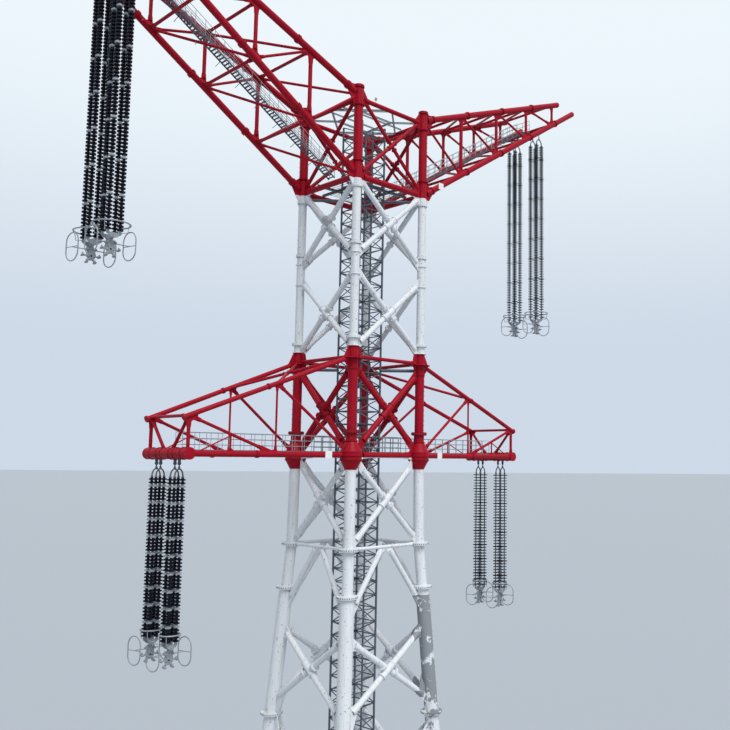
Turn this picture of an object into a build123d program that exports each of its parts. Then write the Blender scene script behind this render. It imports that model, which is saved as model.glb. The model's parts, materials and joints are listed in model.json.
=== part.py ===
from build123d import *
import os
from math import cos, pi, sqrt

# A tubular steel river-crossing tower with two crossarms, as a one-tenth scale model.
# +Z is up, +X runs along the crossarms and +Y along the line. The origin lies on the
# underside of the lift shaft's base plate, at ground level in the middle of the tower.
# All lengths are in millimetres of the model.

# Gap between pieces that bolt or weld together on the real tower
FIT = 0.3
# Sides of a bracing tube, and the share of its corner radius at which its flats lie
TUBE_SIDES = 8
FLAT = cos(pi / TUBE_SIDES)

# Levels above the ground
KNEE_LEVEL = 16000
WAIST_LEVEL = 29297
COLLAR_LEVEL = 29689
LOWER_ARM_LEVEL = 30500
LOWER_ARM_DEPTH = 866
UPPER_ARM_LEVEL = 33005
UPPER_ARM_DEPTH = 757
BODY_MIDDLE_LEVEL = 32217
CAP_HEIGHT = 62

# Half the distance between leg axes at those levels
BASE_HALF = 3200
KNEE_HALF = 1289
WAIST_HALF = 438
COLLAR_HALF = 413
HEAD_HALF = 405

# Leg tube radii
FOOT_RADIUS = 112
KNEE_RADIUS = 88
WAIST_RADIUS = 61
NECK_RADIUS = 48
LOWER_ARM_RADIUS = 42.5
BODY_RADIUS = 38.5
HEAD_RADIUS = 40.5

# Leg joints
LOWER_BAYS = 4
MIDDLE_BAYS = 9
FLANGE_THICKNESS = 22
FLANGE_RATIO = 1.5
COLLAR_FLANGE_RADIUS = 89
BARREL_RADIUS = 93
BARREL_DROP = 46
BARREL_RISE = 32
BARREL_RING_RADIUS = 100
BARREL_RING_THICKNESS = 8
BARREL_LOW_RING_DROP = 40
CONE_HEIGHT = 85
FLARE_HEIGHT = 90
FLARE_RADIUS = 50
JOINT_RISES = (203, 1037, 1887, 2406)
THIN_RING_RATIO = 1.3
CAP_RATIO = 1.2
FOOT_PLATE_RADIUS = 178
FOOT_PLATE_THICKNESS = 30
FOOT_BOLT_CIRCLE = 147
FOOT_BOLT_RADIUS = 8
FOOT_BOLTS = 12

# Bracing tube radii
NODE_OFFSET_RATIO = 1.6
BASE_BRACE_RADIUS = 56
KNEE_BRACE_RADIUS = 44
WAIST_BRACE_RADIUS = 27
BODY_BRACE_RADIUS = 25.5
ARM_ZONE_BRACE_RADIUS = 26.5
HEAD_BRACE_RADIUS = 17.5
HEAD_BRACE_RISE = 18
BASE_RING_RADIUS = 46
KNEE_RING_RADIUS = 38
HEAD_RING_RADIUS = 27
LOWER_TOP_RING_RADIUS = 17
COLLAR_RING_RADIUS = 15
CAP_RING_RADIUS = 21
CAP_RING_DROP = 34
KICKER_RADIUS = 24
KICKER_DROP = 600
KICKER_FOOT_GAP = 30
KICKER_SPREAD = 32
STAY_RADIUS = 15
PORTAL_TIE_RADIUS = 30
PORTAL_TIE_SHARE = 0.5
APEX_SPREAD_RATIO = 2

# Crossarms
UPPER_ARM_REACH = 2477
UPPER_ARM_END_HALF = 398
UPPER_ARM_BOTTOM_RISE = 1347
UPPER_ARM_END_DEPTH = 239
UPPER_ARM_NODES = (0.26, 0.525, 0.77, 1.0)
UPPER_BOTTOM_STUB = 0.2
UPPER_TOP_STUB = 0.058
UPPER_CHORD_RADIUS = 30
UPPER_WEB_RADIUS = 14
UPPER_ROOT_POST_RADIUS = 19
UPPER_DIAGONAL_RADIUS = 12
HANGER_BEAM_RADIUS = 24
LOWER_ARM_REACH = 1875
LOWER_ARM_END_HALF = 293
LOWER_ARM_END_DEPTH = 287
LOWER_ARM_NODE = 0.5
LOWER_TOP_STUB = 40
LOWER_BOTTOM_CHORD_RADIUS = 24.5
LOWER_TOP_CHORD_RADIUS = 20
LOWER_WEB_RADIUS = 13
LOWER_POST_RADIUS = 14
LOWER_MIDDLE_POST_RADIUS = 8.5
END_BEAM_RADIUS = 45
END_BEAM_OVERHANG = 35
END_V_SPREAD = 39

# Lift shaft
SHAFT_HALF = 141
SHAFT_POST = 14
SHAFT_PANEL_THICKNESS = 6
SHAFT_RUNG_WIDTH = 8
SHAFT_BAYS = 60
SHAFT_BASE_HALF = 190
SHAFT_BASE_THICKNESS = 24
SHAFT_TOP_DROP = 90

# Walkways
LOWER_DECK_HALF_WIDTH = 58
UPPER_DECK_HALF_WIDTH = 42
UPPER_DECK_START = 0.04
UPPER_DECK_ROOT_RISE = 80
UPPER_DECK_TIP_RISE = 34
BEARER_LENGTH = 16
DECK_THICKNESS = 5
RAIL_HEIGHT = 145
RAIL_WIDTH = 4.5
RAIL_THICKNESS = 4.5
RAIL_COUNT = 3
POST_PITCH = 105
DECK_END_GAP = 40
UPPER_DECK_END_GAP = 80
PLATFORM_CORNER_GAP = 62

# Insulator sets
UPPER_SET_HALF_SPACING = 163
LOWER_SET_HALF_SPACING = 145
UPPER_STRING_SPREAD = 45
LOWER_STRING_SPREAD = 33
HANGER_DROP = 34
PIN_RADIUS = 6
PIN_CLEARANCE = 0.1
LINK_THICKNESS = 8
CHEEK_THICKNESS = 5
CHEEK_GAP = 2
CHEEK_HALF_WIDTH = 14
EYE_RADIUS = 14
ROD_RADIUS = 5
YOKE_HEIGHT = 12
YOKE_OVERHANG = 8
STRING_CAP_RADIUS = 11
LEFT_DRUM_RADIUS = 21
LEFT_CORE_RADIUS = 9
LEFT_DRUM_SHARE = 0.8
RIGHT_DISC_RADIUS = 18
RIGHT_CORE_RADIUS = 11
LEFT_GROUP_PITCH = 124
RIGHT_LOWER_PITCH = 119
RIGHT_UPPER_PITCH = 259
DISC_THICKNESS = 10
UPPER_STRING_DROP = 134
UPPER_STRING_LENGTH = 2060
LOWER_STRING_DROP = 106
LOWER_STRING_LENGTH = 1215
UPPER_GRADING_RADIUS = 131
LOWER_GRADING_RADIUS = 77
GRADING_TUBE_RADIUS = 6
GRADING_RISE = 55
SPREADER_THICKNESS = 10
STEM_LENGTH = 110
STEM_RADIUS = 7
UPPER_SHIELD_SPREAD = 195
LOWER_SHIELD_SPREAD = 140
SHIELD_DROP = 85
SHIELD_WIDTH = 150
SHIELD_HEIGHT = 225
SHIELD_TUBE = 9
BUNDLE_RADIUS = 62
BUNDLE_PLATE_THICKNESS = 9
CLAMP_RADIUS = 10
CLAMP_LENGTH = 64
CLAMP_COUNT = 6

# Lamps and plates
LAMP_RADIUS = 11
LAMP_HEIGHT = 34
LAMP_SHARE = 0.25
PLATE_WIDTH = 66
PLATE_HEIGHT = 64
PLATE_THICKNESS = 3
PLATES = (("lower", -1, 0.165), ("lower", 1, 0.187), ("upper", 1, 0.11))

UP = Vector(0, 0, 1)
ACROSS = Vector(0, 1, 0)
CORNERS = {
    "left_front": (-1, -1),
    "right_front": (1, -1),
    "left_back": (-1, 1),
    "right_back": (1, 1),
}
FACES = {
    "front": ((-1, -1), (1, -1)),
    "back": ((-1, 1), (1, 1)),
    "left": ((-1, -1), (-1, 1)),
    "right": ((1, -1), (1, 1)),
}
SIDES = {"left": -1, "right": 1}
DEPTHS = {"front": -1, "back": 1}


def between(value, table):
    """Straight-line interpolation in a table of (height, size) pairs."""
    for (low, size_low), (high, size_high) in zip(table, table[1:]):
        if value <= high:
            return size_low + (size_high - size_low) * (value - low) / (high - low)
    return table[-1][1]


def leg_half(z):
    """Half the distance between leg axes at a height."""
    table = [
        (0, BASE_HALF),
        (KNEE_LEVEL, KNEE_HALF),
        (WAIST_LEVEL, WAIST_HALF),
        (COLLAR_LEVEL, COLLAR_HALF),
        (LOWER_ARM_LEVEL, HEAD_HALF),
    ]
    return between(z, table)


def leg_radius(z):
    """Radius of the leg tube at a height, the same from each joint to the next."""
    if z <= WAIST_LEVEL:
        table = [(0, FOOT_RADIUS), (KNEE_LEVEL, KNEE_RADIUS), (WAIST_LEVEL, WAIST_RADIUS)]
        joints = lower_levels() + middle_levels()[1:-1] + [WAIST_LEVEL]
        for low, high in zip(joints, joints[1:]):
            if z <= high:
                return between((low + high) / 2, table)
    if z <= LOWER_ARM_LEVEL + JOINT_RISES[0]:
        return NECK_RADIUS
    if z <= LOWER_ARM_LEVEL + JOINT_RISES[1]:
        return LOWER_ARM_RADIUS
    if z <= LOWER_ARM_LEVEL + JOINT_RISES[3]:
        return BODY_RADIUS
    return HEAD_RADIUS


def leg_point(corner, z):
    return Vector(corner[0] * leg_half(z), corner[1] * leg_half(z), z)


def leg_direction(corner, z):
    step = 1
    return (leg_point(corner, z + step) - leg_point(corner, z - step)).normalized()


def leg_host(corner, z, wide=0):
    """Axis direction of the leg that a bar ends on, and its half width in a tower face."""
    direction = leg_direction(corner, z)
    lean = direction.Z / sqrt(direction.X**2 + direction.Z**2)
    return direction, max(leg_radius(z) * lean, wide)


def taper_width(run, rise, radius, shoulder, taper):
    """Half width at which a slanting brace from the barrel's node meets its tapered end.

    The brace runs out by run and up or down by rise for each unit of its length. The
    taper starts at the shoulder's distance from the node.
    """
    clear = BARREL_RADIUS + FIT + taper * (shoulder - radius * run) + radius * rise
    return clear / (run + taper * rise) * run - FIT - radius * rise


def reach(direction, radius, host):
    """How far from a shared node a bar's end must stop to clear the host tube."""
    host_direction, host_radius = host
    cosine = abs(direction.dot(host_direction))
    sine = sqrt(1 - cosine**2)
    return (host_radius + FIT + radius * cosine) / sine


def tube_host(direction, radius):
    """Axis direction and flat-to-axis distance of a bar that another bar ends on."""
    return direction, radius * FLAT


def prism(start, end, radius, normal):
    """Straight bar with two of its flats square to the normal of its truss plane."""
    direction = (end - start).normalized()
    sideways = normal - direction * normal.dot(direction)
    plane = Plane(origin=start, x_dir=sideways.normalized(), z_dir=direction)
    outline = Rot(0, 0, 180 / TUBE_SIDES) * RegularPolygon(radius, TUBE_SIDES)
    return extrude(plane * outline, (end - start).length).solid()


def strut(start, end, radius, start_hosts=(), end_hosts=(), normal=UP):
    """Bar between two nodes, stopped short of the tubes that it ends on."""
    direction = (end - start).normalized()
    own = radius * FLAT
    first = max([reach(direction, own, host) for host in start_hosts], default=0)
    last = max([reach(direction, own, host) for host in end_hosts], default=0)
    return prism(start + direction * first, end - direction * last, radius, normal)


def upright_tube(low, high, low_radius, high_radius=None):
    """Tube or cone between two points, with level ends."""
    if high_radius is None:
        disc = Pos(low.X, low.Y, low.Z) * Circle(low_radius)
        run = high - low
        return extrude(disc, run.length, dir=run.normalized()).solid()
    height = high.Z - low.Z
    cone = Cone(low_radius, high_radius, height, align=(Align.CENTER, Align.CENTER, Align.MIN))
    return (Pos(low.X, low.Y, low.Z) * cone).solid()


def disc_at(point, radius, thickness):
    """Level disc centred on a point."""
    return (Pos(point.X, point.Y, point.Z) * Cylinder(radius, thickness)).solid()


def bay_levels(low, high, low_half, high_half, count):
    """Levels that give each bay the same shape as the tower narrows."""
    ratio = (high_half / low_half) ** (1 / count)
    levels = [low]
    for step in range(1, count + 1):
        half = low_half * ratio**step
        levels.append(low + (high - low) * (low_half - half) / (low_half - high_half))
    return levels


def lower_levels():
    return bay_levels(FOOT_PLATE_THICKNESS, KNEE_LEVEL, BASE_HALF, KNEE_HALF, LOWER_BAYS)


def middle_levels():
    top = COLLAR_LEVEL - KICKER_DROP - KICKER_FOOT_GAP
    return bay_levels(KNEE_LEVEL, top, KNEE_HALF, leg_half(top), MIDDLE_BAYS)


def foot_plate(corner):
    """Round base plate with its anchor bolt holes."""
    foot = leg_point(corner, 0)
    plate = Pos(foot.X, foot.Y, FOOT_PLATE_THICKNESS / 2) * Cylinder(FOOT_PLATE_RADIUS, FOOT_PLATE_THICKNESS)
    hole = Cylinder(FOOT_BOLT_RADIUS, 3 * FOOT_PLATE_THICKNESS)
    holes = [Pos(foot.X, foot.Y, 0) * place * hole for place in PolarLocations(FOOT_BOLT_CIRCLE, FOOT_BOLTS)]
    return (plate - holes).solid()


def leg_joints():
    """Heights and radii of the flange pairs that join the leg tubes."""
    joints = [(z, FLANGE_RATIO * leg_radius(z)) for z in lower_levels()[1:] + middle_levels()[1:-1]]
    joints.append((WAIST_LEVEL, COLLAR_FLANGE_RADIUS))
    joints.append((COLLAR_LEVEL, COLLAR_FLANGE_RADIUS))
    ratios = (FLANGE_RATIO, FLANGE_RATIO, THIN_RING_RATIO, THIN_RING_RATIO)
    for rise, ratio in zip(JOINT_RISES, ratios):
        z = LOWER_ARM_LEVEL + rise
        joints.append((z, ratio * leg_radius(z)))
    return joints


def leg_tube(corner, low, high, radius):
    """Leg tube between two joints, a running gap short of each."""
    return upright_tube(leg_point(corner, low + FIT), leg_point(corner, high - FIT), radius)


def barrel(corner):
    """Turned barrel at the lower crossarm: cone, drum with two rings, and flare."""
    half_ring = BARREL_RING_THICKNESS / 2
    low_ring = -BARREL_LOW_RING_DROP
    outline = [(0, -BARREL_DROP - CONE_HEIGHT), (NECK_RADIUS, -BARREL_DROP - CONE_HEIGHT)]
    outline.append((BARREL_RADIUS, -BARREL_DROP))
    for z in (low_ring, 0):
        outline += [(BARREL_RADIUS, z - half_ring), (BARREL_RING_RADIUS, z - half_ring)]
        outline += [(BARREL_RING_RADIUS, z + half_ring), (BARREL_RADIUS, z + half_ring)]
    outline.append((BARREL_RADIUS, BARREL_RISE))
    outline.append((FLARE_RADIUS, BARREL_RISE + FLARE_HEIGHT))
    outline.append((0, BARREL_RISE + FLARE_HEIGHT))
    turned = revolve(Plane.XZ * make_face(Polyline(*outline, close=True)), Axis.Z)
    node = leg_point(corner, LOWER_ARM_LEVEL)
    return (Pos(node.X, node.Y, node.Z) * turned).solid()


def leg(corner):
    """All tubes, flange pairs, barrel and cap of one leg."""
    half_flange = FLANGE_THICKNESS / 2
    solids = []
    low = FOOT_PLATE_THICKNESS
    for z, flange_radius in leg_joints():
        solids.append(disc_at(leg_point(corner, z), flange_radius, FLANGE_THICKNESS))
        if low < LOWER_ARM_LEVEL < z:
            cone_low = LOWER_ARM_LEVEL - BARREL_DROP - CONE_HEIGHT
            solids.append(leg_tube(corner, low, cone_low, NECK_RADIUS))
            solids.append(barrel(corner))
            low = LOWER_ARM_LEVEL + BARREL_RISE + FLARE_HEIGHT
        middle = (low + z) / 2
        solids.append(leg_tube(corner, low, z - half_flange, leg_radius(middle)))
        low = z + half_flange
    top = UPPER_ARM_LEVEL + UPPER_ARM_DEPTH + CAP_HEIGHT
    solids.append(leg_tube(corner, low, top, HEAD_RADIUS))
    cap = leg_point(corner, top + half_flange)
    solids.append(disc_at(cap, CAP_RATIO * HEAD_RADIUS, FLANGE_THICKNESS))
    return solids


def face_normal(face, z):
    """Normal of a tower face at a height."""
    first, second = face
    across = leg_point(second, z) - leg_point(first, z)
    return across.cross(leg_direction(first, z)).normalized()


def cross_brace(face, low, high, radius, ring_radius=0, low_wide=0, high_wide=0, low_ring=0):
    """One bay of X bracing: a through bar and two half bars that meet it."""
    first, second = face
    normal = face_normal(face, (low + high) / 2)
    low_a, low_b = leg_point(first, low), leg_point(second, low)
    high_a, high_b = leg_point(first, high), leg_point(second, high)
    share = leg_half(low) / (leg_half(low) + leg_half(high))
    centre = low_a + (high_b - low_a) * share
    along = (low_b - low_a).normalized()
    ring = [tube_host(along, ring_radius)] if ring_radius else []
    floor_ring = [tube_host(along, low_ring)] if low_ring else []
    through = (high_b - low_a).normalized()
    high_hosts = [leg_host(second, high, high_wide)] + ring
    low_hosts = [leg_host(first, low, low_wide)] + floor_ring
    bars = [strut(low_a, high_b, radius, low_hosts, high_hosts, normal)]
    crossing = [tube_host(through, radius)]
    low_hosts = [leg_host(second, low, low_wide)] + floor_ring
    bars.append(strut(low_b, centre, radius, low_hosts, crossing, normal))
    high_hosts = [leg_host(first, high, high_wide)] + ring
    bars.append(strut(high_a, centre, radius, high_hosts, crossing, normal))
    return bars


def ring_strut(face, z, radius, wide=0):
    """Level bar between two legs."""
    first, second = face
    hosts = [[leg_host(corner, z, wide)] for corner in face]
    normal = face_normal(face, z)
    return strut(leg_point(first, z), leg_point(second, z), radius, hosts[0], hosts[1], normal)


def node_offset(z):
    return NODE_OFFSET_RATIO * leg_radius(z)


def portal(face, high, radius, tie_radius):
    """Bottom bay: an inverted V from the ring strut to the feet, with ties to the legs."""
    first, second = face
    low = FOOT_PLATE_THICKNESS + 2 * node_offset(0)
    apex = (leg_point(first, high) + leg_point(second, high)) * 0.5
    along = (leg_point(second, high) - leg_point(first, high)).normalized()
    normal = face_normal(face, high)
    bars = []
    for corner, sign in ((first, -1), (second, 1)):
        foot = leg_point(corner, low)
        head = apex + along * sign * APEX_SPREAD_RATIO * radius
        bar_direction = (head - foot).normalized()
        ring_host = [tube_host(along, BASE_RING_RADIUS)]
        bars.append(strut(foot, head, radius, [leg_host(corner, low)], ring_host, normal))
        middle = foot + (head - foot) * PORTAL_TIE_SHARE
        tie_foot = leg_point(corner, middle.Z)
        hosts = [leg_host(corner, middle.Z)]
        bar_host = [tube_host(bar_direction, radius)]
        bars.append(strut(tie_foot, middle, tie_radius, hosts, bar_host, normal))
    return bars


def lower_bracing(face):
    """Portal bay and X bays from the feet to the knee, with a ring strut on each bay."""
    levels = lower_levels()
    solids = []
    for step, (low, high) in enumerate(zip(levels, levels[1:])):
        share = step / (LOWER_BAYS - 1)
        radius = BASE_BRACE_RADIUS + (KNEE_BRACE_RADIUS - BASE_BRACE_RADIUS) * share
        ring = BASE_RING_RADIUS + (KNEE_RING_RADIUS - BASE_RING_RADIUS) * share
        top = high - node_offset(high)
        solids.append(ring_strut(face, top, ring))
        if step == 0:
            solids += portal(face, top, radius, PORTAL_TIE_RADIUS)
        else:
            solids += cross_brace(face, low + node_offset(low), top, radius, ring)
    return solids


def middle_bracing(face):
    """X bays from the knee to the waist."""
    levels = middle_levels()
    solids = []
    for step, (low, high) in enumerate(zip(levels, levels[1:])):
        share = step / (MIDDLE_BAYS - 1)
        radius = KNEE_BRACE_RADIUS + (WAIST_BRACE_RADIUS - KNEE_BRACE_RADIUS) * share
        bottom = low + node_offset(low)
        solids += cross_brace(face, bottom, high - node_offset(high), radius)
    return solids


def kickers(face):
    """Inverted V between the collar's ring strut and the legs below the waist."""
    first, second = face
    high = COLLAR_LEVEL
    low = COLLAR_LEVEL - KICKER_DROP
    apex = (leg_point(first, high) + leg_point(second, high)) * 0.5
    along = (leg_point(second, high) - leg_point(first, high)).normalized()
    bars = [ring_strut(face, high, COLLAR_RING_RADIUS, COLLAR_FLANGE_RADIUS)]
    for corner, sign in ((first, -1), (second, 1)):
        foot = leg_point(corner, low)
        head = apex + along * sign * KICKER_SPREAD
        hosts = [tube_host(along, COLLAR_RING_RADIUS)]
        normal = face_normal(face, high)
        bars.append(strut(foot, head, KICKER_RADIUS, [leg_host(corner, low)], hosts, normal))
    return bars


def barrel_bays(face):
    """X bays under and over the barrel, both aimed at the middle of its node."""
    high = LOWER_ARM_LEVEL + LOWER_ARM_DEPTH
    high -= node_offset(high)
    below = COLLAR_LEVEL - LOWER_ARM_LEVEL
    length = sqrt(below**2 + (COLLAR_HALF + HEAD_HALF) ** 2)
    run, rise = (COLLAR_HALF + HEAD_HALF) / length, -below / length
    taper = (BARREL_RADIUS - NECK_RADIUS) / CONE_HEIGHT
    wide = taper_width(run, rise, BODY_BRACE_RADIUS * FLAT, BARREL_DROP, taper)
    bars = cross_brace(face, COLLAR_LEVEL, LOWER_ARM_LEVEL, BODY_BRACE_RADIUS, high_wide=wide)
    above = high - LOWER_ARM_LEVEL
    length = sqrt(above**2 + (2 * HEAD_HALF) ** 2)
    run, rise = 2 * HEAD_HALF / length, above / length
    taper = (BARREL_RADIUS - FLARE_RADIUS) / FLARE_HEIGHT
    wide = taper_width(run, rise, ARM_ZONE_BRACE_RADIUS * FLAT, BARREL_RISE, taper)
    return bars + cross_brace(face, LOWER_ARM_LEVEL, high, ARM_ZONE_BRACE_RADIUS, low_wide=wide)


def head_bracing(face):
    """Kickers, ring struts and X bays from the waist to the caps."""
    lower_top = LOWER_ARM_LEVEL + LOWER_ARM_DEPTH
    upper_top = UPPER_ARM_LEVEL + UPPER_ARM_DEPTH
    solids = kickers(face)
    rings = (
        (LOWER_ARM_LEVEL, LOWER_BOTTOM_CHORD_RADIUS, BARREL_RING_RADIUS),
        (lower_top, LOWER_TOP_RING_RADIUS, 0),
        (UPPER_ARM_LEVEL, HEAD_RING_RADIUS, 0),
        (upper_top - CAP_RING_DROP, CAP_RING_RADIUS, 0),
    )
    for z, radius, wide in rings:
        solids.append(ring_strut(face, z, radius, wide))
    solids += barrel_bays(face)
    middle_low = BODY_MIDDLE_LEVEL - node_offset(BODY_MIDDLE_LEVEL)
    middle_high = BODY_MIDDLE_LEVEL + node_offset(BODY_MIDDLE_LEVEL)
    solids += cross_brace(face, lower_top + node_offset(lower_top), middle_low, BODY_BRACE_RADIUS)
    solids += cross_brace(face, middle_high, UPPER_ARM_LEVEL, BODY_BRACE_RADIUS, HEAD_RING_RADIUS)
    high = upper_top + HEAD_BRACE_RISE
    clear = CAP_RING_RADIUS + (CAP_RING_DROP + HEAD_BRACE_RISE) / FLAT
    ends = {"ring_radius": clear, "low_ring": HEAD_RING_RADIUS}
    return solids + cross_brace(face, UPPER_ARM_LEVEL, high, HEAD_BRACE_RADIUS, **ends)


def chord_ends(arm, side, depth, chord):
    """Leg node and tip node of a crossarm chord."""
    if arm == "upper":
        bottom, thickness = UPPER_ARM_LEVEL, UPPER_ARM_DEPTH
        reach_x, end_half = UPPER_ARM_REACH, UPPER_ARM_END_HALF
        end_bottom, end_depth = UPPER_ARM_LEVEL + UPPER_ARM_BOTTOM_RISE, UPPER_ARM_END_DEPTH
    else:
        bottom, thickness = LOWER_ARM_LEVEL, LOWER_ARM_DEPTH
        reach_x, end_half = LOWER_ARM_REACH, LOWER_ARM_END_HALF
        end_bottom, end_depth = LOWER_ARM_LEVEL, LOWER_ARM_END_DEPTH
    lift = 0 if chord == "bottom" else 1
    root = leg_point((side, depth), bottom + lift * thickness)
    tip = Vector(side * reach_x, depth * end_half, end_bottom + lift * end_depth)
    return root, tip


def chord_node(arm, side, depth, chord, share):
    root, tip = chord_ends(arm, side, depth, chord)
    return root + (tip - root) * share


def chord_host(arm, side, depth, chord):
    root, tip = chord_ends(arm, side, depth, chord)
    if arm == "upper":
        radius = UPPER_CHORD_RADIUS
    else:
        radius = LOWER_BOTTOM_CHORD_RADIUS if chord == "bottom" else LOWER_TOP_CHORD_RADIUS
    return tube_host((tip - root).normalized(), radius)


def chord_bar(arm, side, depth, chord):
    """Chord from its leg to its stub, or to the end beam."""
    root, tip = chord_ends(arm, side, depth, chord)
    direction, flat_distance = chord_host(arm, side, depth, chord)
    radius = flat_distance / FLAT
    corner = (side, depth)
    leg_axis, tube = leg_host(corner, root.Z)
    end_hosts = []
    if arm == "lower" and chord == "bottom":
        tube = BARREL_RING_RADIUS
        end_hosts = [tube_host(ACROSS, END_BEAM_RADIUS)]
    elif arm == "upper":
        stub = UPPER_BOTTOM_STUB if chord == "bottom" else UPPER_TOP_STUB
        tip = root + (tip - root) * (1 + stub)
    else:
        tip = tip + direction * LOWER_TOP_STUB
    return strut(root, tip, radius, [(leg_axis, tube)], end_hosts)


def post_radius(arm, share):
    """Posts of the upper arm grow thinner outwards."""
    if arm == "lower":
        return LOWER_POST_RADIUS if share == 1 else LOWER_MIDDLE_POST_RADIUS
    return UPPER_ROOT_POST_RADIUS + (UPPER_WEB_RADIUS - UPPER_ROOT_POST_RADIUS) * share


def web_bars(arm, side, depth, shares, diagonal_radius):
    """Posts and diagonals in one side face of a crossarm."""
    bottom = chord_host(arm, side, depth, "bottom")
    top = chord_host(arm, side, depth, "top")
    normal = bottom[0].cross(UP).normalized()
    bars = []
    for share in shares:
        low = chord_node(arm, side, depth, "bottom", share)
        high = chord_node(arm, side, depth, "top", share)
        post_foot = bottom
        if arm == "lower" and share == 1:
            post_foot = tube_host(ACROSS, END_BEAM_RADIUS)
        bars.append(strut(low, high, post_radius(arm, share), [post_foot], [top], normal))
    nodes = (0,) + tuple(shares)
    for inner, outer in zip(nodes, nodes[1:]):
        leg_end = inner == 0
        inner_post = tube_host(UP, post_radius(arm, inner))
        post = tube_host(UP, post_radius(arm, outer))
        if arm == "upper":
            start = chord_node(arm, side, depth, "top", inner)
            end = chord_node(arm, side, depth, "bottom", outer)
            start_hosts, end_hosts = [top], [bottom, post]
        else:
            start = chord_node(arm, side, depth, "bottom", inner)
            end = chord_node(arm, side, depth, "top", outer)
            start_hosts, end_hosts = [bottom], [top, post]
        if leg_end:
            leg_axis, tube = leg_host((side, depth), start.Z)
            wide = BARREL_RING_RADIUS if arm == "lower" else tube
            start_hosts.append((leg_axis, wide))
        else:
            start_hosts.append(inner_post)
        bars.append(strut(start, end, diagonal_radius, start_hosts, end_hosts, normal))
    return bars


def plan_cross(side, hosts, normal, radius):
    """X between the top chords in the inner bay of a lower crossarm."""
    roots, middles, root_hosts = {}, {}, {}
    for depth in (-1, 1):
        roots[depth] = chord_node("lower", side, depth, "top", 0)
        middles[depth] = chord_node("lower", side, depth, "top", LOWER_ARM_NODE)
        leg_axis = leg_host((side, depth), roots[depth].Z)
        root_hosts[depth] = [hosts[depth], leg_axis, tube_host(ACROSS, HEAD_RING_RADIUS)]
    start, end = roots[1], middles[-1]
    centre = start + (end - start) * (start.Y / (start.Y - end.Y))
    crossing = [tube_host((end - start).normalized(), radius)]
    bars = [strut(start, end, radius, root_hosts[1], [hosts[-1]], normal)]
    bars.append(strut(roots[-1], centre, radius, root_hosts[-1], crossing, normal))
    bars.append(strut(middles[1], centre, radius, [hosts[1]], crossing, normal))
    return bars


def plan_bars(arm, side, chord, shares, radius, diagonal_radius, cross_radius):
    """Cross struts and diagonals in the top or bottom plane of a crossarm."""
    hosts = {depth: chord_host(arm, side, depth, chord) for depth in (-1, 1)}
    root, tip = chord_ends(arm, side, 1, chord)
    normal = (tip - root).cross(ACROSS).normalized()
    bars = []
    for share in shares:
        near = chord_node(arm, side, -1, chord, share)
        far = chord_node(arm, side, 1, chord, share)
        if arm == "lower" and chord == "bottom" and share == 1:
            near = near - ACROSS * END_BEAM_OVERHANG
            far = far + ACROSS * END_BEAM_OVERHANG
            bars.append(prism(near, far, END_BEAM_RADIUS, UP))
            continue
        if arm == "lower" and chord == "top" and share != 1:
            continue
        size = cross_radius if share == 1 else radius
        facing = UP if share == 1 else normal
        bars.append(strut(near, far, size, [hosts[-1]], [hosts[1]], facing))
    if arm == "lower" and chord == "top":
        return bars + plan_cross(side, hosts, normal, diagonal_radius)
    nodes = (0,) + tuple(shares)
    first = -1
    for inner, outer in zip(nodes, nodes[1:]):
        start = chord_node(arm, side, first, chord, inner)
        end = chord_node(arm, side, -first, chord, outer)
        at_beam = arm == "lower" and chord == "bottom" and outer == 1
        outer_radius = radius
        if outer == 1:
            outer_radius = END_BEAM_RADIUS if at_beam else cross_radius
        start_hosts = [hosts[first], tube_host(ACROSS, radius)]
        end_hosts = [hosts[-first], tube_host(ACROSS, outer_radius)]
        if inner == 0:
            leg_axis, tube = leg_host((side, first), start.Z)
            wide = BARREL_RING_RADIUS if arm == "lower" and chord == "bottom" else tube
            start_hosts.append((leg_axis, wide))
            if (arm, chord) != ("upper", "top"):
                start_hosts.append(tube_host(ACROSS, HEAD_RING_RADIUS))
        bars.append(strut(start, end, diagonal_radius, start_hosts, end_hosts, normal))
    return bars


def lower_end_frame(side):
    """V between the tip tops and the middle of the end beam."""
    tops = {depth: chord_node("lower", side, depth, "top", 1) for depth in (-1, 1)}
    middle = Vector(side * LOWER_ARM_REACH, 0, LOWER_ARM_LEVEL)
    bars = []
    beam = [tube_host(ACROSS, END_BEAM_RADIUS)]
    for depth, top in tops.items():
        foot = middle + ACROSS * depth * END_V_SPREAD
        hosts = [chord_host("lower", side, depth, "top")]
        hosts += [tube_host(UP, LOWER_POST_RADIUS), tube_host(ACROSS, LOWER_WEB_RADIUS)]
        bars.append(strut(top, foot, LOWER_WEB_RADIUS, hosts, beam, Vector(1, 0, 0)))
    return bars


def shaft_post(corner, low, high):
    """Corner post of the lift shaft."""
    x = corner[0] * SHAFT_HALF
    y = corner[1] * SHAFT_HALF
    post = Box(SHAFT_POST, SHAFT_POST, high - low, align=(Align.CENTER, Align.CENTER, Align.MIN))
    return (Pos(x, y, low) * post).solid()


def flat_bar(start, end, width):
    """Flat outline of a bar between two points of a drawing plane."""
    along = (end - start).normalized()
    across = Vector(-along.Y, along.X, 0) * (width / 2)
    points = [start + across, start - across, end - across, end + across]
    return make_face(Polyline(*[(p.X, p.Y) for p in points], close=True))


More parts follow.
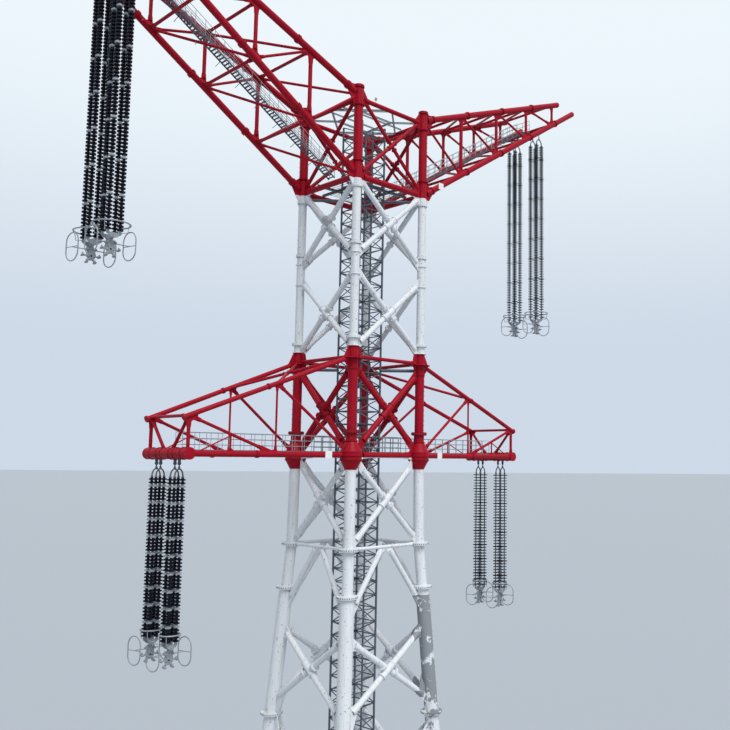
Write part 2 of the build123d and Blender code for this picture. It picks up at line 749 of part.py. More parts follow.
def shaft_panel(face, low, high):
    """Ladder of rungs and diagonals between two corner posts of the lift shaft."""
    half = SHAFT_HALF - SHAFT_POST / 2 - FIT
    pitch = (high - low - SHAFT_RUNG_WIDTH) / SHAFT_BAYS
    inset = SHAFT_RUNG_WIDTH / 2
    outlines = []
    for step in range(SHAFT_BAYS + 1):
        z = low + inset + step * pitch
        outlines.append(flat_bar(Vector(-half, z), Vector(half, z), SHAFT_RUNG_WIDTH))
        if step < SHAFT_BAYS:
            lean = 1 if step % 2 else -1
            start = Vector(-lean * (half - inset), z)
            end = Vector(lean * (half - inset), z + pitch)
            outlines.append(flat_bar(start, end, SHAFT_RUNG_WIDTH))
    sketch = Sketch() + outlines
    (ax, ay), (bx, by) = face
    middle = Vector((ax + bx) / 2 * SHAFT_HALF, (ay + by) / 2 * SHAFT_HALF, 0)
    plane = Plane(origin=middle, x_dir=(bx - ax, by - ay, 0), z_dir=Vector(bx - ax, by - ay, 0).cross(UP))
    return extrude(plane * sketch, SHAFT_PANEL_THICKNESS / 2, both=True).solid()


def shaft_stays(z):
    """Four level bars that hold the lift shaft from the legs."""
    bars = []
    post_host = (UP, SHAFT_POST / sqrt(2))
    for corner in CORNERS.values():
        post = Vector(corner[0] * SHAFT_HALF, corner[1] * SHAFT_HALF, z)
        hosts = [leg_host(corner, z)]
        bars.append(strut(leg_point(corner, z), post, STAY_RADIUS, hosts, [post_host]))
    return bars


def deck(start, end, half_width):
    """Flat walkway plate between two points on its centre line."""
    direction = (end - start).normalized()
    upward = direction.cross(ACROSS)
    if upward.Z < 0:
        upward = -upward
    plane = Plane(origin=start, x_dir=direction, z_dir=upward)
    plate = Box(
        (end - start).length,
        2 * half_width,
        DECK_THICKNESS,
        align=(Align.MIN, Align.CENTER, Align.MIN),
    )
    return (plane * plate).solid()


def railing(start, end):
    """Posts and rails along one edge of a walkway, as one flat panel."""
    run = end - start
    length = sqrt(run.X**2 + run.Y**2)
    slope = run.Z / length
    count = max(2, round(length / POST_PITCH))
    half = RAIL_WIDTH / 2
    outlines = []
    for step in range(count + 1):
        x = half + step * (length - RAIL_WIDTH) / count
        foot = slope * x + (abs(slope) * half)
        outlines.append(flat_bar(Vector(x, foot), Vector(x, slope * x + RAIL_HEIGHT), RAIL_WIDTH))
    for step in range(1, RAIL_COUNT + 1):
        rise = RAIL_HEIGHT * step / RAIL_COUNT - half
        head = Vector(length - half / 2, slope * (length - half / 2) + rise)
        outlines.append(flat_bar(Vector(half / 2, slope * half / 2 + rise), head, RAIL_WIDTH))
    sketch = Sketch() + outlines
    plane = Plane(origin=start, x_dir=(run.X, run.Y, 0), z_dir=Vector(run.X, run.Y, 0).cross(UP))
    return extrude(plane * sketch, RAIL_THICKNESS / 2, both=True).solid()


def walkway_line(side, arm):
    """Start and end of a walkway's underside, on the cross struts of its arm."""
    if arm == "upper":
        root, tip = chord_ends("upper", side, 1, "bottom")
        start = Vector(root.X, 0, root.Z + UPPER_DECK_ROOT_RISE)
        end = Vector(tip.X, 0, tip.Z + UPPER_DECK_TIP_RISE)
        direction = (end - start).normalized()
        return start + (end - start) * UPPER_DECK_START, end - direction * UPPER_DECK_END_GAP
    z = LOWER_ARM_LEVEL + LOWER_BOTTOM_CHORD_RADIUS * FLAT + FIT
    start = Vector(side * (SHAFT_HALF + SHAFT_POST), 0, z)
    end = Vector(side * (LOWER_ARM_REACH - END_BEAM_RADIUS - DECK_END_GAP), 0, z)
    return start, end


def deck_half_width(arm):
    return UPPER_DECK_HALF_WIDTH if arm == "upper" else LOWER_DECK_HALF_WIDTH


def bearers(side, start, end):
    """Blocks that carry an upper walkway on the cross struts of its arm."""
    root, tip = chord_ends("upper", side, 1, "bottom")
    along = (tip - root).normalized()
    upward = along.cross(ACROSS)
    upward = upward if upward.Z > 0 else -upward
    blocks = []
    for share in UPPER_ARM_NODES[:-1]:
        node = root + (tip - root) * share
        seat = Vector(node.X, 0, node.Z) + upward * (UPPER_WEB_RADIUS * FLAT + FIT)
        deck_z = start.Z + (end.Z - start.Z) * (seat.X - start.X) / (end.X - start.X)
        height = (deck_z - seat.Z) * upward.Z + DECK_THICKNESS / 2
        block = Box(BEARER_LENGTH, 2 * UPPER_DECK_HALF_WIDTH, height, align=(Align.CENTER, Align.CENTER, Align.MIN))
        blocks.append(Plane(origin=seat, x_dir=along, z_dir=upward) * block)
    return blocks


def walkway(side, arm):
    start, end = walkway_line(side, arm)
    plate = deck(start, end, deck_half_width(arm))
    if arm == "upper":
        for block in bearers(side, start, end):
            plate = plate + block
    return plate.solid()


def walkway_rails(side, arm):
    """Railings on both edges of a walkway."""
    start, end = walkway_line(side, arm)
    direction = (end - start).normalized()
    normal_rise = (DECK_THICKNESS + FIT) / abs(direction.X)
    rails = []
    for depth in (-1, 1):
        shift = Vector(0, depth * (deck_half_width(arm) - RAIL_THICKNESS), normal_rise)
        low = start + shift + direction * RAIL_WIDTH
        rails.append(railing(low, end + shift - direction * RAIL_WIDTH))
    return rails


def head_platform():
    """Deck around the lift shaft, on the ring struts under the upper crossarm."""
    z = UPPER_ARM_LEVEL + HEAD_RING_RADIUS * FLAT + FIT
    outer = Rectangle(2 * HEAD_HALF, 2 * HEAD_HALF)
    hole = SHAFT_HALF + SHAFT_POST
    outline = outer - Rectangle(2 * hole, 2 * hole)
    for x, y in CORNERS.values():
        outline -= Pos(x * HEAD_HALF, y * HEAD_HALF) * Circle(HEAD_RADIUS + PLATFORM_CORNER_GAP)
    return extrude(Pos(0, 0, z) * outline, DECK_THICKNESS).solid()


def bare_plate(arm, side, share):
    """Blank panel flat against the front of a bottom chord."""
    root, tip = chord_ends(arm, side, -1, "bottom")
    along = (tip - root).normalized()
    facing = along.cross(UP).normalized() * side
    flat_distance = chord_host(arm, side, -1, "bottom")[1]
    middle = chord_node(arm, side, -1, "bottom", share) + facing * (flat_distance + FIT + PLATE_THICKNESS / 2)
    plane = Plane(origin=middle, x_dir=Vector(along.X, along.Y, 0), z_dir=facing)
    return (plane * Box(PLATE_WIDTH, PLATE_HEIGHT, PLATE_THICKNESS)).solid()


def bare_plates():
    """Blank panels near the roots of the front bottom chords."""
    return [bare_plate(arm, side, share) for arm, side, share in PLATES]


def clevis(x, y, underside):
    """Fixed U bracket with its pin, under a hanger beam."""
    top = underside - FIT
    pin_z = top - HANGER_DROP
    outer = LINK_THICKNESS / 2 + CHEEK_GAP + CHEEK_THICKNESS
    roof = Pos(x, y, top - CHEEK_THICKNESS / 2) * Box(2 * CHEEK_HALF_WIDTH, 2 * outer, CHEEK_THICKNESS)
    bracket = roof
    height = HANGER_DROP + CHEEK_HALF_WIDTH
    for sign in (-1, 1):
        cheek_y = y + sign * (outer - CHEEK_THICKNESS / 2)
        cheek = Box(2 * CHEEK_HALF_WIDTH, CHEEK_THICKNESS, height)
        bracket += Pos(x, cheek_y, top - height / 2) * cheek
    pin = Pos(x, y, pin_z) * Rot(90, 0, 0) * Cylinder(PIN_RADIUS, 2 * outer)
    return (bracket + pin).solid()


def top_link(x, y, pin_z, string_top, spread):
    """Eye, rod and spreading yoke that carry two strings."""
    eye = Rot(90, 0, 0) * Cylinder(EYE_RADIUS, LINK_THICKNESS)
    link = Pos(x, y, pin_z) * eye
    yoke_top = string_top + YOKE_HEIGHT
    rod_low = yoke_top - YOKE_HEIGHT / 2
    rod_length = pin_z - PIN_RADIUS - PIN_CLEARANCE - ROD_RADIUS / 2 - rod_low
    link += Pos(x, y, rod_low + rod_length / 2) * Cylinder(ROD_RADIUS, rod_length)
    width = 2 * (spread + YOKE_OVERHANG)
    link += Pos(x, y, string_top + YOKE_HEIGHT / 2) * Box(width, LINK_THICKNESS, YOKE_HEIGHT)
    link -= Pos(x, y, pin_z) * Rot(90, 0, 0) * Cylinder(PIN_RADIUS + PIN_CLEARANCE, 2 * LINK_THICKNESS)
    return link.solid()


def string_profile(length, core, disc, pitch, thickness):
    """Half outline of an insulator string, from its bottom cap upwards."""
    count = max(1, round(length / pitch))
    step = length / count
    points = [(0, 0), (core, 0)]
    for number in range(count):
        low = number * step + (step - thickness) / 2
        high = low + thickness
        points += [(core, low), (disc, low), (disc, high), (core, high)]
    points += [(core, length), (0, length)]
    return points


def insulator_string(x, y, top, length, arm, side):
    """One insulator string hanging from its yoke."""
    if side < 0:
        core, disc, pitch = LEFT_CORE_RADIUS, LEFT_DRUM_RADIUS, LEFT_GROUP_PITCH
        thickness = LEFT_GROUP_PITCH * LEFT_DRUM_SHARE
    else:
        core, disc, thickness = RIGHT_CORE_RADIUS, RIGHT_DISC_RADIUS, DISC_THICKNESS
        pitch = RIGHT_UPPER_PITCH if arm == "upper" else RIGHT_LOWER_PITCH
    outline = make_face(Polyline(*string_profile(length, core, disc, pitch, thickness), close=True))
    turned = revolve(Plane.XZ * outline, Axis.Z)
    return (Pos(x, y, top - length) * turned).solid()


def shield_ring(x, y, z):
    """Upright racetrack ring that screens the clamps, square to the crossarm."""
    middle = Plane(origin=(x, y, z), x_dir=(0, 0, 1), z_dir=(1, 0, 0))
    inner_width = SHIELD_WIDTH - 2 * SHIELD_TUBE
    inner = SlotOverall(SHIELD_HEIGHT - 2 * SHIELD_TUBE, inner_width)
    outline = SlotOverall(SHIELD_HEIGHT, SHIELD_WIDTH) - inner
    return extrude(middle * outline, SHIELD_TUBE / 2, both=True)


def bottom_fitting(x, y, z, spread, grading_radius, shield_spread):
    """Spreader, rings, stem and bundle plate with its clamps under four strings."""
    half = spread + STRING_CAP_RADIUS
    middle = z - SPREADER_THICKNESS / 2
    fitting = Pos(x, y, middle) * Box(2 * half, 2 * half, SPREADER_THICKNESS)
    ring_z = z + GRADING_RISE
    for turn in (0, 90):
        bar = Box(2 * grading_radius, SPREADER_THICKNESS, SPREADER_THICKNESS)
        fitting += Pos(x, y, ring_z) * Rot(0, 0, turn) * bar
    fitting += Pos(x, y, ring_z) * Torus(grading_radius, GRADING_TUBE_RADIUS)
    stem_low = z - STEM_LENGTH
    stem = Cylinder(STEM_RADIUS, ring_z - stem_low)
    fitting += Pos(x, y, (ring_z + stem_low) / 2) * stem
    shield_z = z - SHIELD_DROP
    carrier_width = SHIELD_WIDTH - SHIELD_TUBE
    carrier = Box(2 * shield_spread, carrier_width, SHIELD_TUBE)
    window_length = 2 * (shield_spread - SHIELD_TUBE)
    window = Box(window_length, carrier_width - 2 * SHIELD_TUBE, SHIELD_TUBE)
    fitting += Pos(x, y, shield_z) * (carrier - window)
    fitting += Pos(x, y, shield_z) * Box(SHIELD_TUBE, carrier_width, SHIELD_TUBE)
    for sign in (-1, 1):
        fitting += shield_ring(x + sign * shield_spread, y, shield_z)
    plate_z = stem_low - BUNDLE_RADIUS / 2
    plate = extrude(RegularPolygon(BUNDLE_RADIUS, CLAMP_COUNT), BUNDLE_PLATE_THICKNESS / 2, both=True)
    fitting += Pos(x, y, plate_z) * Rot(90, 0, 0) * plate
    for angle in range(CLAMP_COUNT):
        turn = 2 * pi * angle / CLAMP_COUNT
        clamp = Rot(90, 0, 0) * Cylinder(CLAMP_RADIUS, CLAMP_LENGTH)
        shift_x = BUNDLE_RADIUS * cos(turn)
        shift_z = BUNDLE_RADIUS * cos(turn - pi / 2)
        fitting += Pos(x + shift_x, y, plate_z + shift_z) * clamp
    return fitting.solid()


def hanger_place(arm, side):
    """Reach and underside level of the beam that an arm's insulators hang from."""
    if arm == "upper":
        beam_z = UPPER_ARM_LEVEL + UPPER_ARM_BOTTOM_RISE
        return side * UPPER_ARM_REACH, beam_z - HANGER_BEAM_RADIUS * FLAT
    return side * LOWER_ARM_REACH, LOWER_ARM_LEVEL - END_BEAM_RADIUS * FLAT


def set_spacing(arm):
    """Half the distance between an arm's two sets, and between the strings of one set."""
    if arm == "upper":
        return UPPER_SET_HALF_SPACING, UPPER_STRING_SPREAD
    return LOWER_SET_HALF_SPACING, LOWER_STRING_SPREAD


def set_clevises(arm, side):
    x, underside = hanger_place(arm, side)
    half_spacing, spread = set_spacing(arm)
    solids = []
    for depth in (-1, 1):
        for rod in (-1, 1):
            solids.append(clevis(x, depth * half_spacing + rod * spread, underside))
    return solids


def pin_level(arm, side):
    return hanger_place(arm, side)[1] - FIT - HANGER_DROP


def insulator_set(arm, side, depth):
    """Two top links, four strings and the bottom fitting of one swinging set."""
    x = hanger_place(arm, side)[0]
    half_spacing, spread = set_spacing(arm)
    y = depth * half_spacing
    pin_z = pin_level(arm, side)
    if arm == "upper":
        drop, length = UPPER_STRING_DROP, UPPER_STRING_LENGTH
        ring, shield = UPPER_GRADING_RADIUS, UPPER_SHIELD_SPREAD
    else:
        drop, length = LOWER_STRING_DROP, LOWER_STRING_LENGTH
        ring, shield = LOWER_GRADING_RADIUS, LOWER_SHIELD_SPREAD
    string_top = pin_z - drop
    solids = []
    for rod in (-1, 1):
        rod_y = y + rod * spread
        solids.append(top_link(x, rod_y, pin_z, string_top, spread))
        for shift in (-1, 1):
            string_x = x + shift * spread
            solids.append(insulator_string(string_x, rod_y, string_top - FIT, length, arm, side))
    solids.append(bottom_fitting(x, y, string_top - length - 2 * FIT, spread, ring, shield))
    return solids


def lamp(x, y, z):
    """Obstruction lamp: a short post with a round head."""
    post = Pos(x, y, z) * Cylinder(LAMP_RADIUS / 2, LAMP_HEIGHT / 2, align=(Align.CENTER, Align.CENTER, Align.MIN))
    head = Cylinder(LAMP_RADIUS, LAMP_HEIGHT / 2, align=(Align.CENTER, Align.CENTER, Align.MIN))
    return (post + Pos(x, y, z + LAMP_HEIGHT / 2 - 1) * head).solid()


def lamps():
    """A lamp on the front ring strut of the head, and one on each upper arm's end strut."""
    ring_z = UPPER_ARM_LEVEL + UPPER_ARM_DEPTH - CAP_RING_DROP + CAP_RING_RADIUS * FLAT + FIT
    x = -HEAD_HALF + 2 * HEAD_HALF * LAMP_SHARE
    solids = [lamp(x, -HEAD_HALF, ring_z)]
    for side in (-1, 1):
        tip = chord_node("upper", side, 1, "top", 1)
        solids.append(lamp(tip.X, 0, tip.Z + UPPER_WEB_RADIUS * FLAT + FIT))
    return solids


def build():
    """All nodes of the tower, by name."""
    nodes = {}
    nodes["foot_plates"] = [foot_plate(corner) for corner in CORNERS.values()]
    for name, corner in CORNERS.items():
        nodes[f"leg_{name}"] = leg(corner)
    for name, face in FACES.items():
        nodes[f"lower_bracing_{name}"] = lower_bracing(face)
        nodes[f"middle_bracing_{name}"] = middle_bracing(face)
        nodes[f"head_bracing_{name}"] = head_bracing(face)
    for name, side in SIDES.items():
        for arm, shares in (("upper", UPPER_ARM_NODES), ("lower", (LOWER_ARM_NODE, 1))):
            chords = [chord_bar(arm, side, d, c) for d in (-1, 1) for c in ("bottom", "top")]
            nodes[f"{arm}_arm_{name}_chords"] = chords
            radius = UPPER_WEB_RADIUS if arm == "upper" else LOWER_WEB_RADIUS
            thin = UPPER_DIAGONAL_RADIUS if arm == "upper" else LOWER_WEB_RADIUS
            cross = HANGER_BEAM_RADIUS if arm == "upper" else LOWER_WEB_RADIUS
            bars = []
            for depth in (-1, 1):
                bars += web_bars(arm, side, depth, shares, thin)
            bars += plan_bars(arm, side, "bottom", shares, radius, thin, cross)
            bars += plan_bars(arm, side, "top", shares, radius, thin, radius)
            if arm == "lower":
                bars += lower_end_frame(side)
            nodes[f"{arm}_arm_{name}_lattice"] = bars
    for arm in ("upper", "lower"):
        nodes[f"{arm}_walkways"] = [walkway(side, arm) for side in SIDES.values()]
        nodes[f"{arm}_railings"] = walkway_rails(-1, arm) + walkway_rails(1, arm)
    shaft_low = SHAFT_BASE_THICKNESS + FIT
    shaft_high = UPPER_ARM_LEVEL + UPPER_ARM_DEPTH - SHAFT_TOP_DROP
    base = Box(2 * SHAFT_BASE_HALF, 2 * SHAFT_BASE_HALF, SHAFT_BASE_THICKNESS)
    nodes["lift_shaft_base"] = [(Pos(0, 0, SHAFT_BASE_THICKNESS / 2) * base).solid()]
    nodes["lift_shaft_posts"] = [shaft_post(c, shaft_low, shaft_high) for c in CORNERS.values()]
    nodes["lift_shaft_panels"] = [shaft_panel(f, shaft_low, shaft_high) for f in FACES.values()]
    stays = []
    stay_levels = lower_levels()[1:] + middle_levels()[1:-1:2]
    stay_levels += [LOWER_ARM_LEVEL + LOWER_ARM_DEPTH, UPPER_ARM_LEVEL]
    for z in stay_levels:
        stays += shaft_stays(z - node_offset(z))
    nodes["lift_shaft_stays"] = stays
    clevises = []
    for arm in ("upper", "lower"):
        for name, side in SIDES.items():
            clevises += set_clevises(arm, side)
            for place, depth in DEPTHS.items():
                nodes[f"insulator_set_{arm}_{name}_{place}"] = insulator_set(arm, side, depth)
    nodes["hanger_clevises"] = clevises
    nodes["head_platform"] = [head_platform()]
    nodes["bare_plates"] = bare_plates()
    nodes["obstruction_lamps"] = lamps()
    return nodes


def main():
    os.makedirs("parts", exist_ok=True)
    for name, solids in build().items():
        shape = solids[0] if len(solids) == 1 else Compound(children=solids)
        shape.label = name
        export_step(shape, f"parts/{name}.step")


main()
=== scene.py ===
# %% [markdown]
# # A tubular steel transmission tower, one tenth of real size
# The tower is a skeleton: four legs, hundreds of round braces, two crossarms and eight
# hanging insulator sets. The packed model gives every bar its true place and size.
# Here each bar gets its round skin, its flanges and gussets, and its paint.

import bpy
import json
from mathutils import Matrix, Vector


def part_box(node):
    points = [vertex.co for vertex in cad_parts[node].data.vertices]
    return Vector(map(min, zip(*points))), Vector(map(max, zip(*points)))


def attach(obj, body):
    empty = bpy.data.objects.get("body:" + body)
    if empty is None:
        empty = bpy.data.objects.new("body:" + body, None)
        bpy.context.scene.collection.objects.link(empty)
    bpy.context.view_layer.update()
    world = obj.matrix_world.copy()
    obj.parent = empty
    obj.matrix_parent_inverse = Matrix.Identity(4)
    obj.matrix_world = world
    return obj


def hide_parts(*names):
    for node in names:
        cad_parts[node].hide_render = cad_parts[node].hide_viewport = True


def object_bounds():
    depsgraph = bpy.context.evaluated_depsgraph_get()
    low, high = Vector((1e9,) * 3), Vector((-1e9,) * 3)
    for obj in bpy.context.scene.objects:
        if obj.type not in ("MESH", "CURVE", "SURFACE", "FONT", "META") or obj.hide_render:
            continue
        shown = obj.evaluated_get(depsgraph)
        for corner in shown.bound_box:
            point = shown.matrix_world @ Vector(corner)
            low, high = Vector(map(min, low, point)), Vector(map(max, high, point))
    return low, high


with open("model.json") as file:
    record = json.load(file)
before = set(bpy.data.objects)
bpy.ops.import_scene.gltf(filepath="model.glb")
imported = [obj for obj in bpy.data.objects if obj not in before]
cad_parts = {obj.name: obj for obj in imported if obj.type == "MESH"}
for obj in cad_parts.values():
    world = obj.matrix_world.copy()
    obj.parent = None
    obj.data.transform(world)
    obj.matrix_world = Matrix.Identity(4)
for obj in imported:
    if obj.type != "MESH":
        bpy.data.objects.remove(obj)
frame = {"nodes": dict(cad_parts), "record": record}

# %% [markdown]
# The tower's own box is noted at once. Everything below is in metres of the model.

# %% Note the box of the bare frame
import json
from math import cos, hypot, pi, radians, sin

import bpy
import numpy as np
from mathutils import Matrix, Vector

frame_box = [list(corner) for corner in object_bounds()]
UP = Vector((0, 0, 1))
ALONG_ARMS = Vector((1, 0, 0))
ALONG_LINE = Vector((0, 1, 0))
CROSSWISE = ((ALONG_ARMS, ALONG_LINE), (ALONG_LINE, ALONG_ARMS))
ARMS = [(arm, side) for arm in ("upper", "lower") for side in ("left", "right")]
SETS = [(arm, side, place) for arm, side in ARMS for place in ("front", "back")]


def heading_at(number, count, shift=0.0):
    """Level direction of one of a number of equal steps round a circle."""
    angle = 2 * pi * (number + shift) / count
    return Vector((cos(angle), sin(angle), 0))


print("frame box:", frame_box)

# %% [markdown]
# ## Reading the frame
# A bar of the frame is a prism, so its centre line is the line through the middles of its
# two ends. Measuring the bars here, instead of typing their places, keeps every skin and
# every fitting on its bar when a size of the tower changes.


# %% Split a node into its solids
def solids_of(node):
    """The corner points of each separate solid in one node of the frame."""
    mesh = frame["nodes"][node].data
    points = np.empty(len(mesh.vertices) * 3)
    mesh.vertices.foreach_get("co", points)
    points = points.reshape(-1, 3)
    places, first, same = np.unique(points.round(5), axis=0, return_index=True, return_inverse=True)
    edges = np.empty(len(mesh.edges) * 2, dtype=int)
    mesh.edges.foreach_get("vertices", edges)
    edges = same.ravel()[edges].reshape(-1, 2)
    group = np.arange(len(places))
    while True:
        lowest = np.minimum(group[edges[:, 0]], group[edges[:, 1]])
        before = group.copy()
        np.minimum.at(group, edges[:, 0], lowest)
        np.minimum.at(group, edges[:, 1], lowest)
        group = group[group]
        if (group == before).all():
            break
    return [places[group == number] for number in np.unique(group)]


def corners_of(points):
    """Lowest and highest corner of the box round some points."""
    return Vector(points.min(axis=0)), Vector(points.max(axis=0))


class Bar:
    """A straight round bar: its two ends, its direction and its radius."""

    def __init__(self, points, roughly=None):
        middle = points.mean(axis=0)
        spread = np.linalg.svd(points - middle, full_matrices=False)[2][0]
        if roughly and abs(Vector(spread).dot(roughly)) < 0.9:
            spread = np.array(roughly)
        along = (points - middle) @ spread
        self.start = Vector(middle + spread * along.min())
        self.end = Vector(middle + spread * along.max())
        self.direction = (self.end - self.start).normalized()
        self.length = (self.end - self.start).length
        offset = points - np.array(self.start)
        across = offset - np.outer(offset @ np.array(self.direction), np.array(self.direction))
        self.radius = float(np.linalg.norm(across, axis=1).max())

    def nearest(self, point):
        """The point on the centre line nearest to a point, and the distance to it."""
        share = max(0.0, min(self.length, (point - self.start).dot(self.direction)))
        foot = self.start + self.direction * share
        return foot, (point - foot).length


def bars_of(node):
    return [Bar(points) for points in solids_of(node)]


SIDES_OF_TOWER = ("front", "back", "left", "right")
CORNERS = {"left_front": (-1, -1), "right_front": (1, -1), "left_back": (-1, 1), "right_back": (1, 1)}
bracing = {}
for level in ("lower", "middle", "head"):
    for side in SIDES_OF_TOWER:
        bracing[f"{level}_bracing_{side}"] = bars_of(f"{level}_bracing_{side}")
print("bracing bars:", sum(len(bars) for bars in bracing.values()))

# %% [markdown]
# ## One way to make round things and one way to make plates
# Nearly everything on the tower is either turned, as tubes, flanges, bolts and insulator
# discs are, or cut from flat plate. So two small makers are enough. Both only collect
# points and faces, which is far quicker than adding thousands of objects one by one.


# %% Collect points and faces
class Shape:
    """Points and faces of one piece, gathered before its mesh is made."""

    def __init__(self):
        self.points = []
        self.faces = []
        self.count = 0

    def add(self, points, faces):
        self.points.append(np.asarray(points, dtype=float))
        shifted = [tuple(index + self.count for index in face) for face in faces]
        self.faces.extend(shifted)
        self.count += len(points)

    def turned(self, origin, direction, profile, sides=16):
        """Lathe work: profile is a list of (distance along, radius), closed at both ends."""
        direction = Vector(direction).normalized()
        across = direction.orthogonal().normalized()
        if abs(direction.z) > 0.999:
            across = ALONG_ARMS.copy()
        third = direction.cross(across)
        angles = np.arange(sides) * 2 * pi / sides
        ring = np.outer(np.cos(angles), across) + np.outer(np.sin(angles), third)
        rows = [np.array(origin) + np.array(direction) * along + ring * radius for along, radius in profile]
        faces = []
        for row in range(len(profile) - 1):
            low = row * sides
            for step in range(sides):
                after = (step + 1) % sides
                faces.append((low + step, low + after, low + sides + after, low + sides + step))
        faces.append(tuple(reversed(range(sides))))
        faces.append(tuple(range((len(profile) - 1) * sides, len(profile) * sides)))
        self.add(np.vstack(rows), faces)

    def tube(self, start, end, radius, sides=16):
        run = Vector(end) - Vector(start)
        self.turned(start, run, [(0, radius), (run.length, radius)], sides)

    def plate(self, outline, normal, thickness):
        """Flat plate: outline points in order, thickness split to both sides."""
        half = np.array(Vector(normal).normalized()) * thickness / 2
        corners = np.array([np.array(point) for point in outline])
        count = len(corners)
        faces = [tuple(reversed(range(count))), tuple(range(count, 2 * count))]
        for step in range(count):
            after = (step + 1) % count
            faces.append((step, after, count + after, count + step))
        self.add(np.vstack([corners - half, corners + half]), faces)

    def swept(self, path, radius, sides=8, closed=False):
        """Round rod bent along a path of points."""
        path = [Vector(point) for point in path]
        count = len(path)
        rows = []
        across = None
        for number, point in enumerate(path):
            before = path[number - 1] if number or closed else point
            after = path[(number + 1) % count] if number < count - 1 or closed else point
            along = (after - before).normalized()
            if across is None:
                across = along.orthogonal()
            across = (across - along * across.dot(along)).normalized()
            third = along.cross(across)
            for step in range(sides):
                angle = 2 * pi * step / sides
                rows.append(tuple(point + (across * cos(angle) + third * sin(angle)) * radius))
        faces = []
        for number in range(count if closed else count - 1):
            low, high = number * sides, (number + 1) % count * sides
            for step in range(sides):
                after = (step + 1) % sides
                faces.append((low + step, low + after, high + after, high + step))
        if not closed:
            faces.append(tuple(reversed(range(sides))))
            faces.append(tuple(range((count - 1) * sides, count * sides)))
        self.add(rows, faces)

    def beam(self, start, end, width, height, facing=UP):
        """Square bar between two points; its height lies along the facing direction."""
        start, end = Vector(start), Vector(end)
        direction = (end - start).normalized()
        across = direction.cross(Vector(facing))
        if across.length < 1e-4:
            across = direction.orthogonal()
        across = across.normalized() * (width / 2)
        rise = across.cross(direction).normalized() * (height / 2)
        section = [across + rise, rise - across, -across - rise, across - rise]
        points = [start + corner for corner in section] + [end + corner for corner in section]
        faces = [(3, 2, 1, 0), (4, 5, 6, 7), (0, 1, 5, 4), (1, 2, 6, 5), (2, 3, 7, 6), (3, 0, 4, 7)]
        self.add(np.array([tuple(point) for point in points]), faces)


print("ways to add faces:", [name for name in vars(Shape) if not name.startswith("_")])

# %% [markdown]
# A finished piece is an object with one material. It rides on its body, so that it moves
# with its joint, and it hides the parts of the frame that it stands in for. Shading is
# smooth except at edges sharper than a set angle, so tubes look round and plates crisp.


# %% From a shape to a named piece
def placed(name, data):
    """An object of that name in the scene."""
    item = bpy.data.objects.new(name, data)
    bpy.context.scene.collection.objects.link(item)
    return item


SMOOTH_ANGLE = radians(35)
ROUND_SIDES, BRACE_SIDES, STOUT_SIDES = 20, 16, 24
made = {}


def finish_piece(name, shape, material, body="tower", stands_for=()):
    """Turns a Shape into a named object on its body, shaded round where it is round."""
    mesh = bpy.data.meshes.new(name)
    mesh.from_pydata(np.vstack(shape.points).tolist(), [], shape.faces)
    mesh.polygons.foreach_set("use_smooth", [True] * len(mesh.polygons))
    mesh.set_sharp_from_angle(angle=SMOOTH_ANGLE)
    piece = placed(name, mesh)
    mesh.materials.append(material)
    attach(piece, body)
    if stands_for:
        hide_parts(*stands_for)
    made[name] = sum(len(face) - 2 for face in shape.faces)


def report():
    print("pieces so far:", len(made), "triangles so far:", sum(made.values()))


report()


# %% [markdown]
# ## Paint and metal
# Aviation paint goes on in wide bands that depend only on height, so the colour can be
# worked out from the object's own Z. What weather does to it is the same on every finish:
# rain streaks, small rust blooms and a fine grain. That goes into one shared node group
# with named inputs, and each material keeps its own Principled shader.


# %% A short way to add and join shader nodes
def fill(tree, node, inputs):
    """Links or fills a node's inputs, given by name or number."""
    for key, value in dict(inputs).items():
        if isinstance(value, bpy.types.NodeSocket):
            tree.links.new(value, node.inputs[key])
        else:
            node.inputs[key].default_value = value


def add_node(tree, kind, inputs=(), **settings):
    """Adds one node, sets its settings and fills its inputs."""
    node = tree.nodes.new(kind)
    for name, value in settings.items():
        setattr(node, name, value)
    fill(tree, node, inputs)
    return node


def own_place(tree):
    """The object's own coordinates, which are metres of the model."""
    return tree.nodes.new("ShaderNodeTexCoord").outputs["Object"]


def noise(tree, vector, scale, detail, **more):
    inputs = {"Vector": vector, "Scale": scale, "Detail": detail, **more}
    return add_node(tree, "ShaderNodeTexNoise", inputs).outputs[0]


def maths(tree, operation, first, second=0.0):
    return add_node(tree, "ShaderNodeMath", {0: first, 1: second}, operation=operation).outputs[0]


def mixed(tree, share, first, second):
    node = add_node(tree, "ShaderNodeMix", data_type="RGBA")
    fill(tree, node, {0: share, 6: first, 7: second})
    return node.outputs[2]


def ramp(tree, value, low, high):
    """0 below low, 1 above high, with a soft step between."""
    node = add_node(tree, "ShaderNodeMapRange", {"Value": value, "From Min": low, "From Max": high})
    node.interpolation_type = "SMOOTHSTEP"
    return node.outputs["Result"]


def new_group(name, inputs, outputs):
    """An empty shader node group with named sockets."""
    group = bpy.data.node_groups.new(name, "ShaderNodeTree")
    for label, kind, default in inputs:
        socket = group.interface.new_socket(label, in_out="INPUT", socket_type=kind)
        socket.default_value = default
    for label, kind in outputs:
        group.interface.new_socket(label, in_out="OUTPUT", socket_type=kind)
    return group, group.nodes.new("NodeGroupInput").outputs, group.nodes.new("NodeGroupOutput").inputs


FLOAT = "NodeSocketFloat"
print("kind of the shared group's sockets:", FLOAT)


# %% [markdown]
# Rain runs down a steel tube and carries dirt with it, so the streak noise is squeezed
# along Z. Rust blooms are rare dots of one noise, thinned by a second, larger one. Using
# object coordinates keeps both fixed to the steel from every side.


